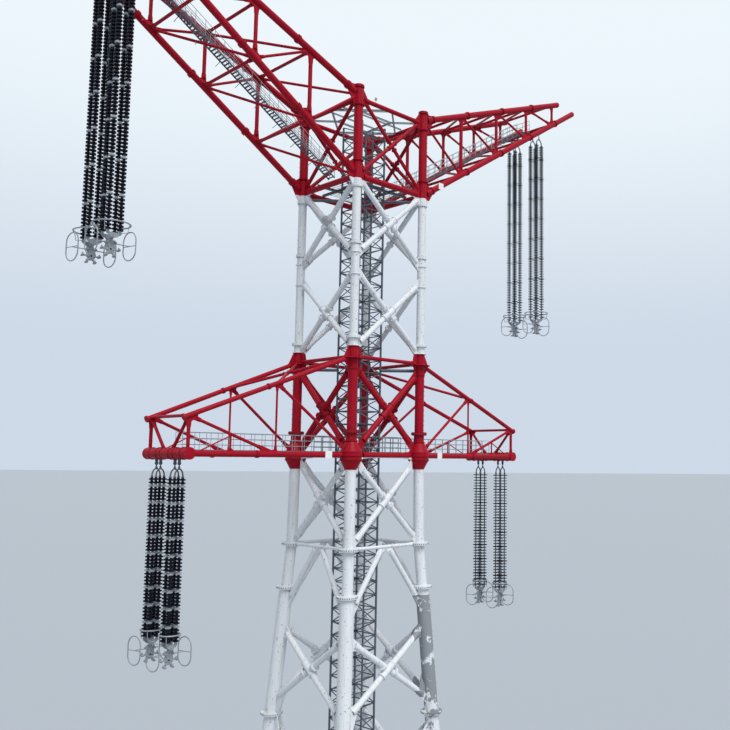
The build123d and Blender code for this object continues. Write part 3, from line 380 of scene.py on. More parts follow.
# %% Weather group: streaks, rust blooms, peeled patches and grain
STREAK_SCALE, STREAK_SQUEEZE = 70.0, (1, 1, 0.06)
FIELD_SCALE, FIELD_SHARE, BLOOM_LEVEL, BLOOM_RANGE = 2.2, 0.15, 0.80, 0.25
PATCH_SCALE, PATCH_ROUGHNESS, PEEL_LEVEL, PEEL_RANGE = 9.0, 0.62, 0.78, 0.35
GRAIN_SCALE, CLOUD_SCALE = 420.0, 3.5


def weather_group():
    group, given, result = new_group(
        "steel weather",
        [("Bloom size", FLOAT, 0.02), ("Bloom amount", FLOAT, 0.4), ("Peel amount", FLOAT, 0.2)],
        [("Streaks", FLOAT), ("Blooms", FLOAT), ("Peel", FLOAT), ("Grain", FLOAT), ("Cloud", FLOAT)],
    )
    place = own_place(group)
    squeezed = add_node(group, "ShaderNodeMapping", {"Vector": place, "Scale": STREAK_SQUEEZE})
    streak = noise(group, squeezed.outputs[0], STREAK_SCALE, 4.0)
    dots = noise(group, place, maths(group, "DIVIDE", 1.0, given["Bloom size"]), 3.0)
    fields = noise(group, place, FIELD_SCALE, 2.0)
    more = maths(group, "MULTIPLY", given["Bloom amount"], BLOOM_RANGE)
    level = maths(group, "SUBTRACT", BLOOM_LEVEL, more)
    thin = maths(group, "ADD", dots, maths(group, "MULTIPLY", fields, FIELD_SHARE))
    patch = noise(group, place, PATCH_SCALE, 9.0, Roughness=PATCH_ROUGHNESS)
    wider = maths(group, "MULTIPLY", given["Peel amount"], PEEL_RANGE)
    reach = maths(group, "SUBTRACT", PEEL_LEVEL, wider)
    signs = {
        "Streaks": ramp(group, streak, 0.5, 0.8),
        "Blooms": ramp(group, maths(group, "SUBTRACT", thin, level), 0.0, 0.03),
        "Peel": ramp(group, maths(group, "SUBTRACT", patch, reach), 0.0, 0.012),
        "Grain": noise(group, place, GRAIN_SCALE, 2.0),
        "Cloud": noise(group, place, CLOUD_SCALE, 6.0),
    }
    for label, socket in signs.items():
        group.links.new(socket, result[label])
    return group


weather = weather_group()
print("shared group:", weather.name)

# %% [markdown]
# The bands meet where the photographed tower changes colour: below the upper crossarm's
# nodes, above the lower crossarm's nodes and at the foot of its cones. Further down the
# bands go on in turn, as aviation marking asks, each about as deep as the white one.

# %% Levels of the paint bands
RED_EDGES = (30.372, 31.456, 32.974)
BANDS_BELOW = 7
BRACE_EDGE = 30.48
WORN_BELOW, WORN_DOWN_TO, HEAVY_PEEL = 29.23, 27.4, 0.98
CORNER_FROM = 0.3
PAINT_SPECULAR, ZINC_METALLIC = 0.09, 0.25
BLOOM_SIZE, BLOOM_SIZE_ON_ZINC = 0.016, 0.02
band_depth = RED_EDGES[0] / BANDS_BELOW
CRIMSON = (0.30, 0.002, 0.010, 1)
CRIMSON_FADED = (0.37, 0.010, 0.028, 1)
CHALK_WHITE = (0.72, 0.75, 0.775, 1)
CHALK_SHADE = (0.50, 0.53, 0.545, 1)
ZINC = (0.26, 0.28, 0.30, 1)
RUST = (0.20, 0.075, 0.03, 1)


def new_material(name, slot):
    material = bpy.data.materials.new(name)
    material.use_nodes = True
    material["slot"] = slot
    tree = material.node_tree
    shader = tree.nodes["Principled BSDF"]
    return material, tree, shader


def placed_weather(tree, size, blooms, peel):
    node = add_node(tree, "ShaderNodeGroup", node_tree=weather)
    fill(tree, node, {"Bloom size": size, "Bloom amount": blooms, "Peel amount": peel})
    return node.outputs


def bumped(tree, shader, height, strength, distance):
    """Lets a height pattern roughen the surface of a shader."""
    inputs = {"Height": height, "Strength": strength, "Distance": distance}
    bump = add_node(tree, "ShaderNodeBump", inputs)
    tree.links.new(bump.outputs[0], shader.inputs["Normal"])


def roughened(tree, shader, pattern, share, base):
    """Roughness of a shader: a base value plus a share of a pattern."""
    rough = maths(tree, "ADD", maths(tree, "MULTIPLY", pattern, share), base)
    tree.links.new(rough, shader.inputs["Roughness"])


def red_mask(tree, arm_edge):
    """1 where the paint band is red, 0 where it is white, from the height alone."""
    z = add_node(tree, "ShaderNodeSeparateXYZ", {0: own_place(tree)}).outputs[2]
    edges = [band_depth * step for step in range(1, BANDS_BELOW)] + [arm_edge, *RED_EDGES[1:]]
    red = 0.0
    for number, edge in enumerate(edges):
        above = maths(tree, "GREATER_THAN", z, edge)
        red = maths(tree, "SUBTRACT" if number % 2 else "ADD", red, above)
    return red


print("paint bands:", BANDS_BELOW + len(RED_EDGES), "lower ones deep:", round(band_depth, 2))

# %% [markdown]
# The paint is an old two-pack coat: satin, a little chalky, darker where dirt has run.
# Where it peels, the hot-dip zinc shows. One function makes the paint of all painted
# steel, with the peel set by how hard a piece is weathered. The right front leg has lost
# most of its paint below the waist flange, so the peel rises there and fades further down.


# %% Banded paint
def worn_corner(tree, peel):
    """Peel amount: ordinary everywhere, heavy on the right front leg below the waist flange."""
    split = add_node(tree, "ShaderNodeSeparateXYZ", {0: own_place(tree)}).outputs
    rise = maths(tree, "SUBTRACT", split[2], WORN_DOWN_TO)
    fade = maths(tree, "MINIMUM", maths(tree, "MAXIMUM", rise, 0), 1)
    low = maths(tree, "MULTIPLY", maths(tree, "LESS_THAN", split[2], WORN_BELOW), fade)
    right = maths(tree, "GREATER_THAN", split[0], CORNER_FROM)
    front = maths(tree, "LESS_THAN", split[1], -CORNER_FROM)
    corner = maths(tree, "MULTIPLY", right, front)
    heavy = maths(tree, "MULTIPLY", maths(tree, "MULTIPLY", low, corner), HEAVY_PEEL - peel)
    return maths(tree, "ADD", heavy, peel)


def banded_paint(name, blooms, peel, arm_edge=RED_EDGES[0]):
    material, tree, shader = new_material(name, "banded_paint")
    signs = placed_weather(tree, BLOOM_SIZE, blooms, worn_corner(tree, peel))
    red = mixed(tree, signs["Cloud"], CRIMSON, CRIMSON_FADED)
    white = mixed(tree, maths(tree, "MULTIPLY", signs["Streaks"], 0.75), CHALK_WHITE, CHALK_SHADE)
    coat = mixed(tree, red_mask(tree, arm_edge), white, red)
    rusty = mixed(tree, maths(tree, "MULTIPLY", signs["Blooms"], 0.75), coat, RUST)
    worn = mixed(tree, signs["Peel"], rusty, ZINC)
    tree.links.new(worn, shader.inputs["Base Color"])
    roughened(tree, shader, signs["Cloud"], 0.25, 0.30)
    shader.inputs["Specular IOR Level"].default_value = PAINT_SPECULAR
    height = maths(tree, "SUBTRACT", maths(tree, "MULTIPLY", signs["Grain"], 0.3), signs["Peel"])
    bumped(tree, shader, height, 0.35, 0.0008)
    return material


paint = banded_paint("banded paint", 0.22, 0.16)
leg_paint = banded_paint("banded paint on the legs", 0.26, 0.18)
head_paint = banded_paint("banded paint on the head braces", 0.24, 0.22, BRACE_EDGE)
print("paints:", paint.name, "|", leg_paint.name, "|", head_paint.name)

# %% [markdown]
# Galvanized steel is zinc crystals: large, faint patches that differ in brightness and
# gloss. The colours of a cell pattern give those, and the streaks dull them.


# %% Galvanized steel
def galvanized(name, bright, dark, cell):
    material, tree, shader = new_material(name, "galvanized_steel")
    signs = placed_weather(tree, BLOOM_SIZE_ON_ZINC, 0.15, 0.0)
    cells = add_node(tree, "ShaderNodeTexVoronoi", {"Vector": own_place(tree), "Scale": 1 / cell})
    flake = add_node(tree, "ShaderNodeSeparateColor", {0: cells.outputs["Color"]}).outputs[0]
    zinc = mixed(tree, maths(tree, "ADD", maths(tree, "MULTIPLY", flake, 0.3), 0.35), dark, bright)
    dull = mixed(tree, maths(tree, "MULTIPLY", signs["Streaks"], 0.5), zinc, dark)
    rusty = mixed(tree, maths(tree, "MULTIPLY", signs["Blooms"], 0.6), dull, RUST)
    tree.links.new(rusty, shader.inputs["Base Color"])
    shader.inputs["Metallic"].default_value = ZINC_METALLIC
    roughened(tree, shader, flake, 0.2, 0.42)
    bumped(tree, shader, signs["Grain"], 0.2, 0.0004)
    return material


bright_cast = galvanized("cast fittings", (0.40, 0.43, 0.46, 1), (0.20, 0.22, 0.25, 1), 0.012)
zinc_steel = galvanized("galvanized steel", (0.42, 0.46, 0.50, 1), (0.24, 0.27, 0.30, 1), 0.012)
dark_zinc = galvanized("weathered galvanized steel", (0.16, 0.19, 0.23, 1), (0.07, 0.085, 0.11, 1), 0.015)
print("metals:", bright_cast.name, "|", zinc_steel.name, "|", dark_zinc.name)

# %% [markdown]
# The left strings are glazed porcelain, almost black with a blue cast, and a film of dust
# takes most of the gloss. The right strings are silicone rubber: matt blue-grey, with
# darker sheds at intervals.


# %% Glaze, rubber, lamp glass and enamel
NOISE_SCALE = 60.0


def plain_finish(name, slot, light, dark, roughness, coat=0.0, gloss=0.5):
    """Two close tones by a fine noise, the finish of a small or moulded part."""
    material, tree, shader = new_material(name, slot)
    signs = placed_weather(tree, BLOOM_SIZE_ON_ZINC, 0.0, 0.0)
    tone = noise(tree, own_place(tree), NOISE_SCALE, 3.0)
    tree.links.new(mixed(tree, tone, (*dark, 1), (*light, 1)), shader.inputs["Base Color"])
    roughened(tree, shader, signs["Cloud"], 0.3, roughness - 0.1)
    shader.inputs["Coat Weight"].default_value = coat
    shader.inputs["Specular IOR Level"].default_value = gloss
    bumped(tree, shader, signs["Grain"], 0.1, 0.0003)
    return material


# Near-black finish of the rim studs: painted shade for the shadows between a flange's ribs and bolts.
painted_shade_studs = plain_finish(
    "studs dark as painted shade", "galvanized_steel", (0.035, 0.035, 0.04), (0.015, 0.015, 0.018), 0.7
)
dark_rubber = plain_finish(
    "dark composite", "grey_composite", (0.008, 0.009, 0.013), (0.005, 0.006, 0.009), 0.5, gloss=0.1
)
glaze = plain_finish(
    "dark glaze", "dark_glaze", (0.006, 0.007, 0.018), (0.003, 0.003, 0.009), 0.35, 0.05, gloss=0.15
)
rubber = plain_finish(
    "grey composite", "grey_composite", (0.075, 0.098, 0.125), (0.045, 0.058, 0.078), 0.5, gloss=0.2
)
lamp_glass = plain_finish("lamp glass", "lamp_glass", (0.50, 0.04, 0.03), (0.32, 0.02, 0.02), 0.15, 1.0)
enamel = plain_finish("plate enamel", "plate_enamel", (0.86, 0.86, 0.85), (0.74, 0.75, 0.75), 0.3, 0.4)
MATERIAL_OF_SLOT = {
    "banded_paint": paint,
    "galvanized_steel": zinc_steel,
    "dark_glaze": glaze,
    "grey_composite": rubber,
    "lamp_glass": lamp_glass,
    "plate_enamel": enamel,
}
for row in frame["record"]["subparts"]:
    finish = leg_paint if row["node"].startswith("leg_") else MATERIAL_OF_SLOT[row["material_slot"]]
    materials = frame["nodes"][row["node"]].data.materials
    materials.clear()
    materials.append(finish)
print("finishes:", [material.name for material in bpy.data.materials])

# %% [markdown]
# ## Fittings that join round bars
# A real brace ends in a plate that is slotted into the tube and bolted to a gusset on the
# leg. Where two braces cross, one runs through a thicker sleeve and the other is flanged
# on to it. Each end of each bar looks for the bar or leg that it stops at, so that the
# fittings follow from the bars alone.

# %% Find the host of a bar's end and cut its gusset
SLOT_GAP = 1.25
CHORD_SLOT_GAP = 2.0
LEAST_SLOPE, LEAST_RUN = 0.2, 0.45
GUSSET_HALF, GUSSET_SPREAD, GUSSET_TAPER = 1.35, 1.25, 0.85
GUSSET_LAP = 2.6
GUSSET_THICKNESS, GUSSET_DIFFERENCE = 0.009, 0.0007
SEAT_SHARE = 0.85


def host_of(point, hosts, limit):
    """The bar whose surface lies nearest to a point, with the point's foot on its axis."""
    best = None
    for host in hosts:
        foot, distance = host.nearest(point)
        gap = distance - host.radius
        if gap < limit and (best is None or gap < best[0]):
            best = (gap, foot, host)
    return best


def slotted_tip(tip, inward, radius, foot, host, gap=SLOT_GAP):
    """Where a tube really ends: short of its host, so that the gusset shows between them."""
    side = inward - host.direction * inward.dot(host.direction)
    slope = side.length
    if slope < LEAST_SLOPE:
        return tip
    short = (host.radius + gap * radius - (tip - foot).dot(side / slope)) / slope
    return tip + inward * max(0.0, short)


def gusset(shape, bar, tip, inward, foot, host, number):
    """Plate from the host's surface into the slotted end of a bar.

    Neighbours differ a little in thickness, so that plates that overlap share no face."""
    axis = host.direction
    side = inward - axis * inward.dot(axis)
    if side.length < LEAST_SLOPE:
        return
    side.normalize()
    normal = axis.cross(side).normalized()
    across = normal.cross(inward).normalized()
    if across.dot(axis) < 0:
        across = -across
    gap = (tip - foot).dot(side) - host.radius * SEAT_SHARE
    seat = tip - inward * (gap / inward.dot(side))
    half = bar.radius * GUSSET_HALF
    spread = half * GUSSET_SPREAD / max(LEAST_RUN, inward.dot(side))
    ahead = max(0.0, min(spread, (host.end - seat).dot(axis)))
    behind = max(0.0, min(spread, (seat - host.start).dot(axis)))
    lap = tip + inward * (bar.radius * GUSSET_LAP)
    outline = [seat + axis * ahead, tip + across * half, lap + across * half * GUSSET_TAPER]
    outline += [lap - across * half * GUSSET_TAPER, tip - across * half, seat - axis * behind]
    shape.plate(outline, normal, GUSSET_THICKNESS + GUSSET_DIFFERENCE * (number % 4))


print("gusset thickness:", GUSSET_THICKNESS, "lap in brace radii:", GUSSET_LAP)

# %% [markdown]
# A tube is made longer by bolting flange to flange, so a joint shows as two thin discs
# with a seam and a circle of hexagon bolts. All its sizes follow from the tube's radius.

# %% Bolts, collars and sleeves
COLLAR_THICK, COLLAR_SEAM, COLLAR_GROOVE = 0.34, 0.08, 0.96
COLLAR_BOLT, COLLAR_BOLT_LENGTH = 0.13, 3.4
SLEEVE_BODY, SLEEVE_LIP, SLEEVE_EDGE = 1.24, 1.42, 0.3


def bolt_circle(shape, centre, axis, radius, count, size, length):
    """Hexagon bolts standing through a flange."""
    axis = Vector(axis).normalized()
    across = ALONG_ARMS if abs(axis.z) > 0.999 else axis.orthogonal().normalized()
    third = axis.cross(across)
    for number in range(count):
        angle = 2 * pi * (number + 0.5) / count
        place = Vector(centre) + (across * cos(angle) + third * sin(angle)) * radius
        shape.turned(place - axis * length / 2, axis, [(0, size), (length, size)], 6)


def collar_pair(shape, centre, axis, tube, ratio=1.5, bolts=8):
    """Two flanges bolted face to face on a tube, with a seam between them."""
    thick = tube * COLLAR_THICK
    seam = thick * COLLAR_SEAM
    rim = tube * ratio
    groove = rim * COLLAR_GROOVE
    profile = [(-thick, tube), (-thick, rim), (-seam, rim), (-seam, groove), (seam, groove)]
    profile += [(seam, rim), (thick, rim), (thick, tube)]
    shape.turned(centre, axis, profile, ROUND_SIDES)
    circle = (tube + rim) / 2
    bolt_circle(shape, centre, axis, circle, bolts, tube * COLLAR_BOLT, COLLAR_BOLT_LENGTH * thick)


def sleeve(shape, centre, axis, tube, half_length):
    """Thicker length of tube with a raised lip at each end."""
    body, lip, edge = tube * SLEEVE_BODY, tube * SLEEVE_LIP, tube * SLEEVE_EDGE
    low = [(-half_length, tube), (-half_length, lip), (edge - half_length, lip), (edge - half_length, body)]
    high = [(-along, radius) for along, radius in reversed(low)]
    shape.turned(centre, axis, low + high, ROUND_SIDES)


def ends_of(bar):
    return ((bar.start, bar.direction), (bar.end, -bar.direction))


def round_bars(shape, bars, sides=BRACE_SIDES):
    for bar in bars:
        shape.tube(bar.start, bar.end, bar.radius, sides)


print("collar thickness in tube radii:", 2 * COLLAR_THICK, "sleeve:", SLEEVE_BODY)

# %% [markdown]
# The legs' tubes and flanges are told apart by their proportions: a flange is a disc that
# is wider than it is long. So the bolts and rings that come later find their places on
# the flanges that are really there.


# %% Measure the legs
class Disc:
    """A level flange: its centre, its rim radius and its thickness."""

    def __init__(self, points):
        low, high = points.min(axis=0), points.max(axis=0)
        self.centre = Vector((low + high) / 2)
        self.radius = float(high[0] - low[0]) / 2
        self.thickness = float(high[2] - low[2])


def is_flange(points):
    low, high = points.min(axis=0), points.max(axis=0)
    return high[2] - low[2] < (high[0] - low[0]) / 3


leg_tubes, leg_flanges = {}, {}
for name in CORNERS:
    solids = solids_of(f"leg_{name}")
    leg_flanges[name] = [Disc(points) for points in solids if is_flange(points)]
    leg_tubes[name] = [Bar(points, UP) for points in solids if not is_flange(points)]
all_tubes = [bar for tubes in leg_tubes.values() for bar in tubes]
print("leg tubes:", len(all_tubes), "flanges:", sum(len(discs) for discs in leg_flanges.values()))

# %% [markdown]
# ## Braces of the four faces
# Every bay is an X. The half bars of an X end on the through bar, well away from its own
# ends, and that is how a crossing is told from a node on a leg.


# %% Round braces, gussets and crossings
STOUT_BAR, BORE = 0.04, 0.84
NEAR_CARRIER, NEAR_BAR, CARRIER_COMES_FIRST = 0.06, 0.02, 0.03
CROSSING_FROM, CROSSING_TO, END_ON = 0.3, 0.7, 0.9
CROSSING_COLLAR, CROSSING_SLEEVE, SAME_RADIUS = 2.6, 3.0, 0.001


def open_tube(shape, bar, tips, slotted):
    """Skin of a brace between its real ends; a slotted end is left open, with its bore."""
    start, end = tips
    length = (end - start).length
    profile = [(0, bar.radius), (length, bar.radius)]
    if slotted[0]:
        profile = [(bar.radius, bar.radius * BORE), (0, bar.radius * BORE)] + profile
    if slotted[1]:
        profile += [(length, bar.radius * BORE), (length - bar.radius, bar.radius * BORE)]
    shape.turned(start, end - start, profile, BRACE_SIDES)


def dress_bars(shape, bars, carriers):
    """Adds round skins, and at each bar's end a gusset or a flanged crossing."""
    crossings = 0
    for number, bar in enumerate(bars):
        if bar.radius > STOUT_BAR:
            shape.tube(bar.start, bar.end, bar.radius, STOUT_SIDES)
            continue
        tips, slotted = [], []
        for tip, inward in ends_of(bar):
            others = [other for other in bars if other is not bar]
            carried = host_of(tip, carriers, NEAR_CARRIER)
            through = host_of(tip, others, NEAR_BAR)
            tips.append(tip)
            slotted.append(False)
            if carried and (not through or carried[0] < through[0] + CARRIER_COMES_FIRST):
                foot, host = carried[1], carried[2]
                gap = SLOT_GAP if host in all_tubes else CHORD_SLOT_GAP
                tips[-1] = slotted_tip(tip, inward, bar.radius, foot, host, gap)
                slotted[-1] = tips[-1] != tip
                gusset(shape, bar, tips[-1], inward, foot, host, number)
                continue
            if not through:
                continue
            foot, host = through[1], through[2]
            share = (foot - host.start).length / host.length
            side_on = abs(inward.dot(host.direction)) < END_ON
            alike = abs(host.radius - bar.radius) < SAME_RADIUS
            if CROSSING_FROM < share < CROSSING_TO and alike and side_on:
                crossings += 1
                middle = foot + inward * (host.radius * CROSSING_COLLAR)
                collar_pair(shape, middle, inward, bar.radius)
                if tip == bar.end:
                    sleeve(shape, foot, host.direction, host.radius, host.radius * CROSSING_SLEEVE)
            else:
                gusset(shape, bar, tip, inward, foot, host, number)
        open_tube(shape, bar, tips, slotted)
    return crossings


crossings = 0
for node, bars in bracing.items():
    shape = Shape()
    crossings += dress_bars(shape, bars, all_tubes)
    coat = head_paint if node.startswith("head") else paint
    finish_piece(f"round_{node}", shape, coat, stands_for=[node])
print("half bars that end on a crossing:", crossings)
report()

# %% [markdown]
# ## The crossarms
# Chords and lattice bars are tubes too. The chords are flanged together just outboard of
# each node. At the tip of the upper arm the bottom chords end in blank flanges and the
# top ones in a slim rim. The lower arm's sloping chords are capped.


# %% Find a chord's nodes and its outer end
CHORD_REACH, NODE_APART = 0.02, 0.15


def run_outward(chord):
    """Inner end, outer end and outward direction of a chord."""
    if abs(chord.end.x) > abs(chord.start.x):
        return chord.start, chord.end, chord.direction
    return chord.end, chord.start, -chord.direction


def chord_nodes(chord, lattice):
    """Distances along a chord at which lattice bars meet it."""
    places = []
    for bar in lattice:
        for tip, inward in ends_of(bar):
            foot, distance = chord.nearest(tip)
            if distance < chord.radius + bar.radius + CHORD_REACH:
                places.append((foot - chord.start).length)
    merged = []
    for place in sorted(places):
        if not merged or place - merged[-1] > NODE_APART:
            merged.append(place)
    return merged


print("bars within", CHORD_REACH, "of a chord meet it; nodes lie at least", NODE_APART, "apart")

# %% [markdown]
# At each node of a chord a plate stands between the bars that meet there. It is flame-cut
# with hollow curves from one bar to the next, so its outline is a row of bar ends joined
# by a sagging edge.

# %% Node plates of the chords
CHORD_NODE_REACH, SAME_SIDE = 0.13, 0.93
CHORD_SLOPE = 0.35
CHORD_PLATE_THICKNESS, CHORD_SEAT = 0.0075, 0.7
PLATE_EDGE, PLATE_EDGE_AT_LAP, PLATE_TAIL = 1.2, 1.1, 4.2
FILLET_STEPS, FILLET_SAG = 5, 0.22


def flared_edge(start, end, inward):
    """Points from start to end along a hollow curve that leaves room at its middle."""
    points = []
    for step in range(1, FILLET_STEPS):
        share = step / FILLET_STEPS
        sag = sin(pi * share) * (end - start).length * FILLET_SAG
        points.append(start.lerp(end, share) + inward * sag)
    return points


def chord_groups(chord, bars):
    """Ends of bars at a chord, grouped by node and by the side that they come from."""
    groups = {}
    for bar in bars:
        for tip, inward in ends_of(bar):
            foot, distance = chord.nearest(tip)
            if distance > chord.radius + bar.radius + CHORD_REACH:
                continue
            side = inward - chord.direction * inward.dot(chord.direction)
            if side.length < CHORD_SLOPE:
                continue
            side.normalize()
            along = (foot - chord.start).length
            tip = slotted_tip(tip, inward, bar.radius, foot, chord, CHORD_SLOT_GAP)
            member = (along, tip, inward, bar.radius)
            for key in groups:
                if abs(key[0] - along) < CHORD_NODE_REACH and Vector(key[1]).dot(side) > SAME_SIDE:
                    groups[key].append(member)
                    break
            else:
                groups[(along, tuple(side))] = [member]
    return groups


def chord_plates(shape, chord, bars):
    """Plate at each node of a chord, through the ends of the bars that meet there."""
    for (_, side), members in chord_groups(chord, bars).items():
        side = Vector(side)
        members.sort(key=lambda member: member[0])
        outline = []
        for number, (_, tip, inward, radius) in enumerate(members):
            across = (chord.direction - inward * chord.direction.dot(inward)).normalized()
            lap = tip + inward * radius * GUSSET_LAP
            wide, narrow = across * radius * PLATE_EDGE, across * radius * PLATE_EDGE_AT_LAP
            if number:
                outline += flared_edge(outline[-1], tip - wide, -side)
            outline += [tip - wide, lap - narrow, lap + narrow, tip + wide]
        surface = chord.radius * CHORD_SEAT
        first, last = members[0], members[-1]
        low = max(0.0, first[0] - first[3] * PLATE_TAIL)
        high = min(chord.length, last[0] + last[3] * PLATE_TAIL)
        start = chord.start + chord.direction * low + side * surface
        end = chord.start + chord.direction * high + side * surface
        outline = [start] + flared_edge(start, outline[0], -side) + outline
        outline += flared_edge(outline[-1], end, -side) + [end]
        shape.plate(outline, side.cross(chord.direction), CHORD_PLATE_THICKNESS)


print("thickness of a chord's node plates:", CHORD_PLATE_THICKNESS)

# %% [markdown]
# The lower arm ends in a thick beam from which the strings hang. It has stiffening rings,
# placed as shares of its length, and a blank flange at each end. In the outermost bay a
# thin post and a thin brace halve the length of the bars.

# %% End beams and thin posts
END_BEAM_RINGS = (0.13, 0.30, 0.40, 0.60, 0.70, 0.87)
END_RING_WIDE, END_RING_LENGTH, END_RING_BEVEL, BLANK_WIDE = 1.1, 0.012, 0.0015, 1.05
THIN_POST, THIN_BRACE, BRACE_FROM_TIP = 0.0075, 0.0055, 0.06
POST_PLATE_HALF, POST_PLATE_SEAT, POST_PLATE_THICKNESS = 0.03, 0.004, 0.006
SLOPING_FROM, SLOPING_TO, ALONG_SHARE, OUTER_BAY_FROM = 0.2, 0.8, 0.5, 1.0


def end_beam_fittings(shape, beam):
    """Rings round the thick end beam and a blank flange at each end."""
    for share in END_BEAM_RINGS:
        ring = beam.start.lerp(beam.end, share)
        edge = beam.radius * END_RING_WIDE
        band = [(0, beam.radius), (END_RING_BEVEL, edge)]
        band += [(END_RING_LENGTH - END_RING_BEVEL, edge), (END_RING_LENGTH, beam.radius)]
        start = ring - beam.direction * (END_RING_LENGTH / 2)
        shape.turned(start, beam.direction, band, STOUT_SIDES)
    for end, inward in ends_of(beam):
        rim = beam.radius * BLANK_WIDE
        blank = [(-0.003, rim * 0.9), (-0.002, rim), (0.016, rim), (0.017, beam.radius * 0.95)]
        shape.turned(end, inward, blank, STOUT_SIDES)


def extra_post(shape, chord, diagonal):
    """Thin post from the outer diagonal's middle down to the bottom chord, and its brace."""
    middle = diagonal.start.lerp(diagonal.end, 0.5)
    foot, _ = chord.nearest(middle)
    _, tip, outward = run_outward(chord)
    post_top = middle - UP * diagonal.radius
    post_foot = foot + UP * chord.radius
    shape.tube(post_foot, post_top, THIN_POST, 10)
    reach, seat = outward * POST_PLATE_HALF, UP * POST_PLATE_SEAT
    corners = [post_foot + reach - seat, post_foot + UP * POST_PLATE_HALF, post_foot - reach - seat]
    shape.plate(corners, ALONG_LINE, POST_PLATE_THICKNESS)
    brace_end = tip - outward * BRACE_FROM_TIP + UP * chord.radius
    shape.tube(middle - UP * diagonal.radius, brace_end, THIN_BRACE, 8)


def outer_diagonals(lattice):
    """Sloping bars in the faces of the lower arm's outermost bays."""
    outer = [bar for bar in lattice if min(abs(bar.start.x), abs(bar.end.x)) > OUTER_BAY_FROM]
    sloping = [bar for bar in outer if SLOPING_FROM < abs(bar.direction.z) < SLOPING_TO]
    return [bar for bar in sloping if abs(bar.direction.x) > ALONG_SHARE]


print("rings round an end beam:", len(END_BEAM_RINGS))

# %% [markdown]
# A chord is one long tube with a collar pair outboard of each node, where its lengths are
# bolted together. The trim at the top tips keeps the round skin inside the frame's box,
# because a round skin over a tube with flats stands a little proud of them.

# %% One chord with its collars and its end
COLLAR_OUTBOARD = {"upper": 0.115, "lower": 0.075}
ROOT_COLLAR = 0.085
COLLARS_FROM, COLLARS_UNTIL = 0.2, 0.25
CHORD_COLLAR_RATIO = 1.3
TOP_TIP_FLOOR, TOP_TIP_TRIM, TIP_RIM_RATIO = 34.5, 0.014, 1.04
TIP_RIM_FROM, TIP_RIM_TO, BLANK_INSET = 1.2, 0.6, 0.35
CAP_RATIO, LEVEL_CHORD, CAP_BACK, CAP_FRONT = 1.4, 0.1, -0.004, 0.010


def open_end(shape, outer, outward, radius):
    """End of an upper arm's chord: a slim rim on a top one, a blank flange on a bottom one."""
    if outer.z > TOP_TIP_FLOOR:
        rim, back, front = radius * TIP_RIM_RATIO, -radius * TIP_RIM_FROM, -radius * TIP_RIM_TO
        ring = [(back, radius), (back, rim), (front, rim), (front, radius)]
        shape.turned(outer, outward, ring, ROUND_SIDES)
    else:
        place = outer - outward * radius * BLANK_INSET
        collar_pair(shape, place, outward, radius, CHORD_COLLAR_RATIO)


def dress_chord(shape, arm, chord, lattice):
    """Skin of one chord with its collars, its node plates and its end."""
    inner, outer, outward = run_outward(chord)
    trim = TOP_TIP_TRIM if outer.z > TOP_TIP_FLOOR else 0
    shape.tube(inner, outer - outward * trim, chord.radius, ROUND_SIDES)
    for place in chord_nodes(chord, lattice):
        along = place if inner == chord.start else chord.length - place
        if COLLARS_FROM < along < chord.length - COLLARS_UNTIL:
            place_out = inner + outward * (along + COLLAR_OUTBOARD[arm])
            collar_pair(shape, place_out, outward, chord.radius, CHORD_COLLAR_RATIO)
    chord_plates(shape, chord, lattice)
    if arm == "upper":
        collar_pair(shape, inner + outward * ROOT_COLLAR, outward, chord.radius, CHORD_COLLAR_RATIO)
        open_end(shape, outer, outward, chord.radius)
    elif abs(chord.direction.z) > LEVEL_CHORD:
        wide = chord.radius * CAP_RATIO
        cap = [(CAP_BACK, chord.radius), (CAP_BACK, wide), (CAP_FRONT, wide)]
        shape.turned(outer, outward, cap, ROUND_SIDES)


print("collars stand outboard of the nodes by", COLLAR_OUTBOARD)

# %% [markdown]
# Each half arm becomes two pieces, chords and lattice, as in the frame, so that each can
# stand in for its own part of the packed model. The thin posts and braces of the lower
# arm's outer bays are too slim for the frame, so they come in here.

# %% Dress the four half arms
for arm, side in ARMS:
    chords = bars_of(f"{arm}_arm_{side}_chords")
    lattice = bars_of(f"{arm}_arm_{side}_lattice")
    shape = Shape()
    for chord in chords:
        dress_chord(shape, arm, chord, lattice)
    finish_piece(f"round_{arm}_arm_{side}_chords", shape, paint, stands_for=[f"{arm}_arm_{side}_chords"])
    shape = Shape()
    if arm == "lower":
        end_beam_fittings(shape, max(lattice, key=lambda bar: bar.radius))
        for bar in outer_diagonals(lattice):
            near = [chord for chord in chords if chord.start.y * bar.start.y > 0]
            extra_post(shape, min(near, key=lambda chord: chord.start.z + chord.end.z), bar)
    dress_bars(shape, lattice, chords + all_tubes)
    finish_piece(f"round_{arm}_arm_{side}_lattice", shape, paint, stands_for=[f"{arm}_arm_{side}_lattice"])
report()

# %% [markdown]
# ## Gusset plates and ring plates of the leg nodes
# Where chords, struts and braces meet a leg, one large upright plate in each direction
# takes all their ends, and thin ring plates tie the upright plates together. The outline
# of a plate is the hull of the bar ends that it holds, which is the least plate that a
# maker could cut.


# %% Outline of a plate
def hull(points):
    """Convex outline of points in a plane, in order."""
    points = sorted(set(points))

    def half(sequence):
        chain = []
        for point in sequence:
            while len(chain) > 1:
                (ax, ay), (bx, by) = chain[-2], chain[-1]
                if (bx - ax) * (point[1] - ay) - (by - ay) * (point[0] - ax) > 0:
                    break
                chain.pop()
            chain.append(point)
        return chain[:-1]

    return half(points) + half(points[::-1])


print("hull of a square with a point inside:", hull([(0, 0), (1, 0), (1, 1), (0, 1), (0.5, 0.5)]))

# %% [markdown]
# Bar ends are sorted by leg, by compass heading and by height. Ends that lie close
# together in height share one plate. Each ring plate is given by its height and its
# radius, as the photo shows them, and a plate also reaches the rings at its own height.

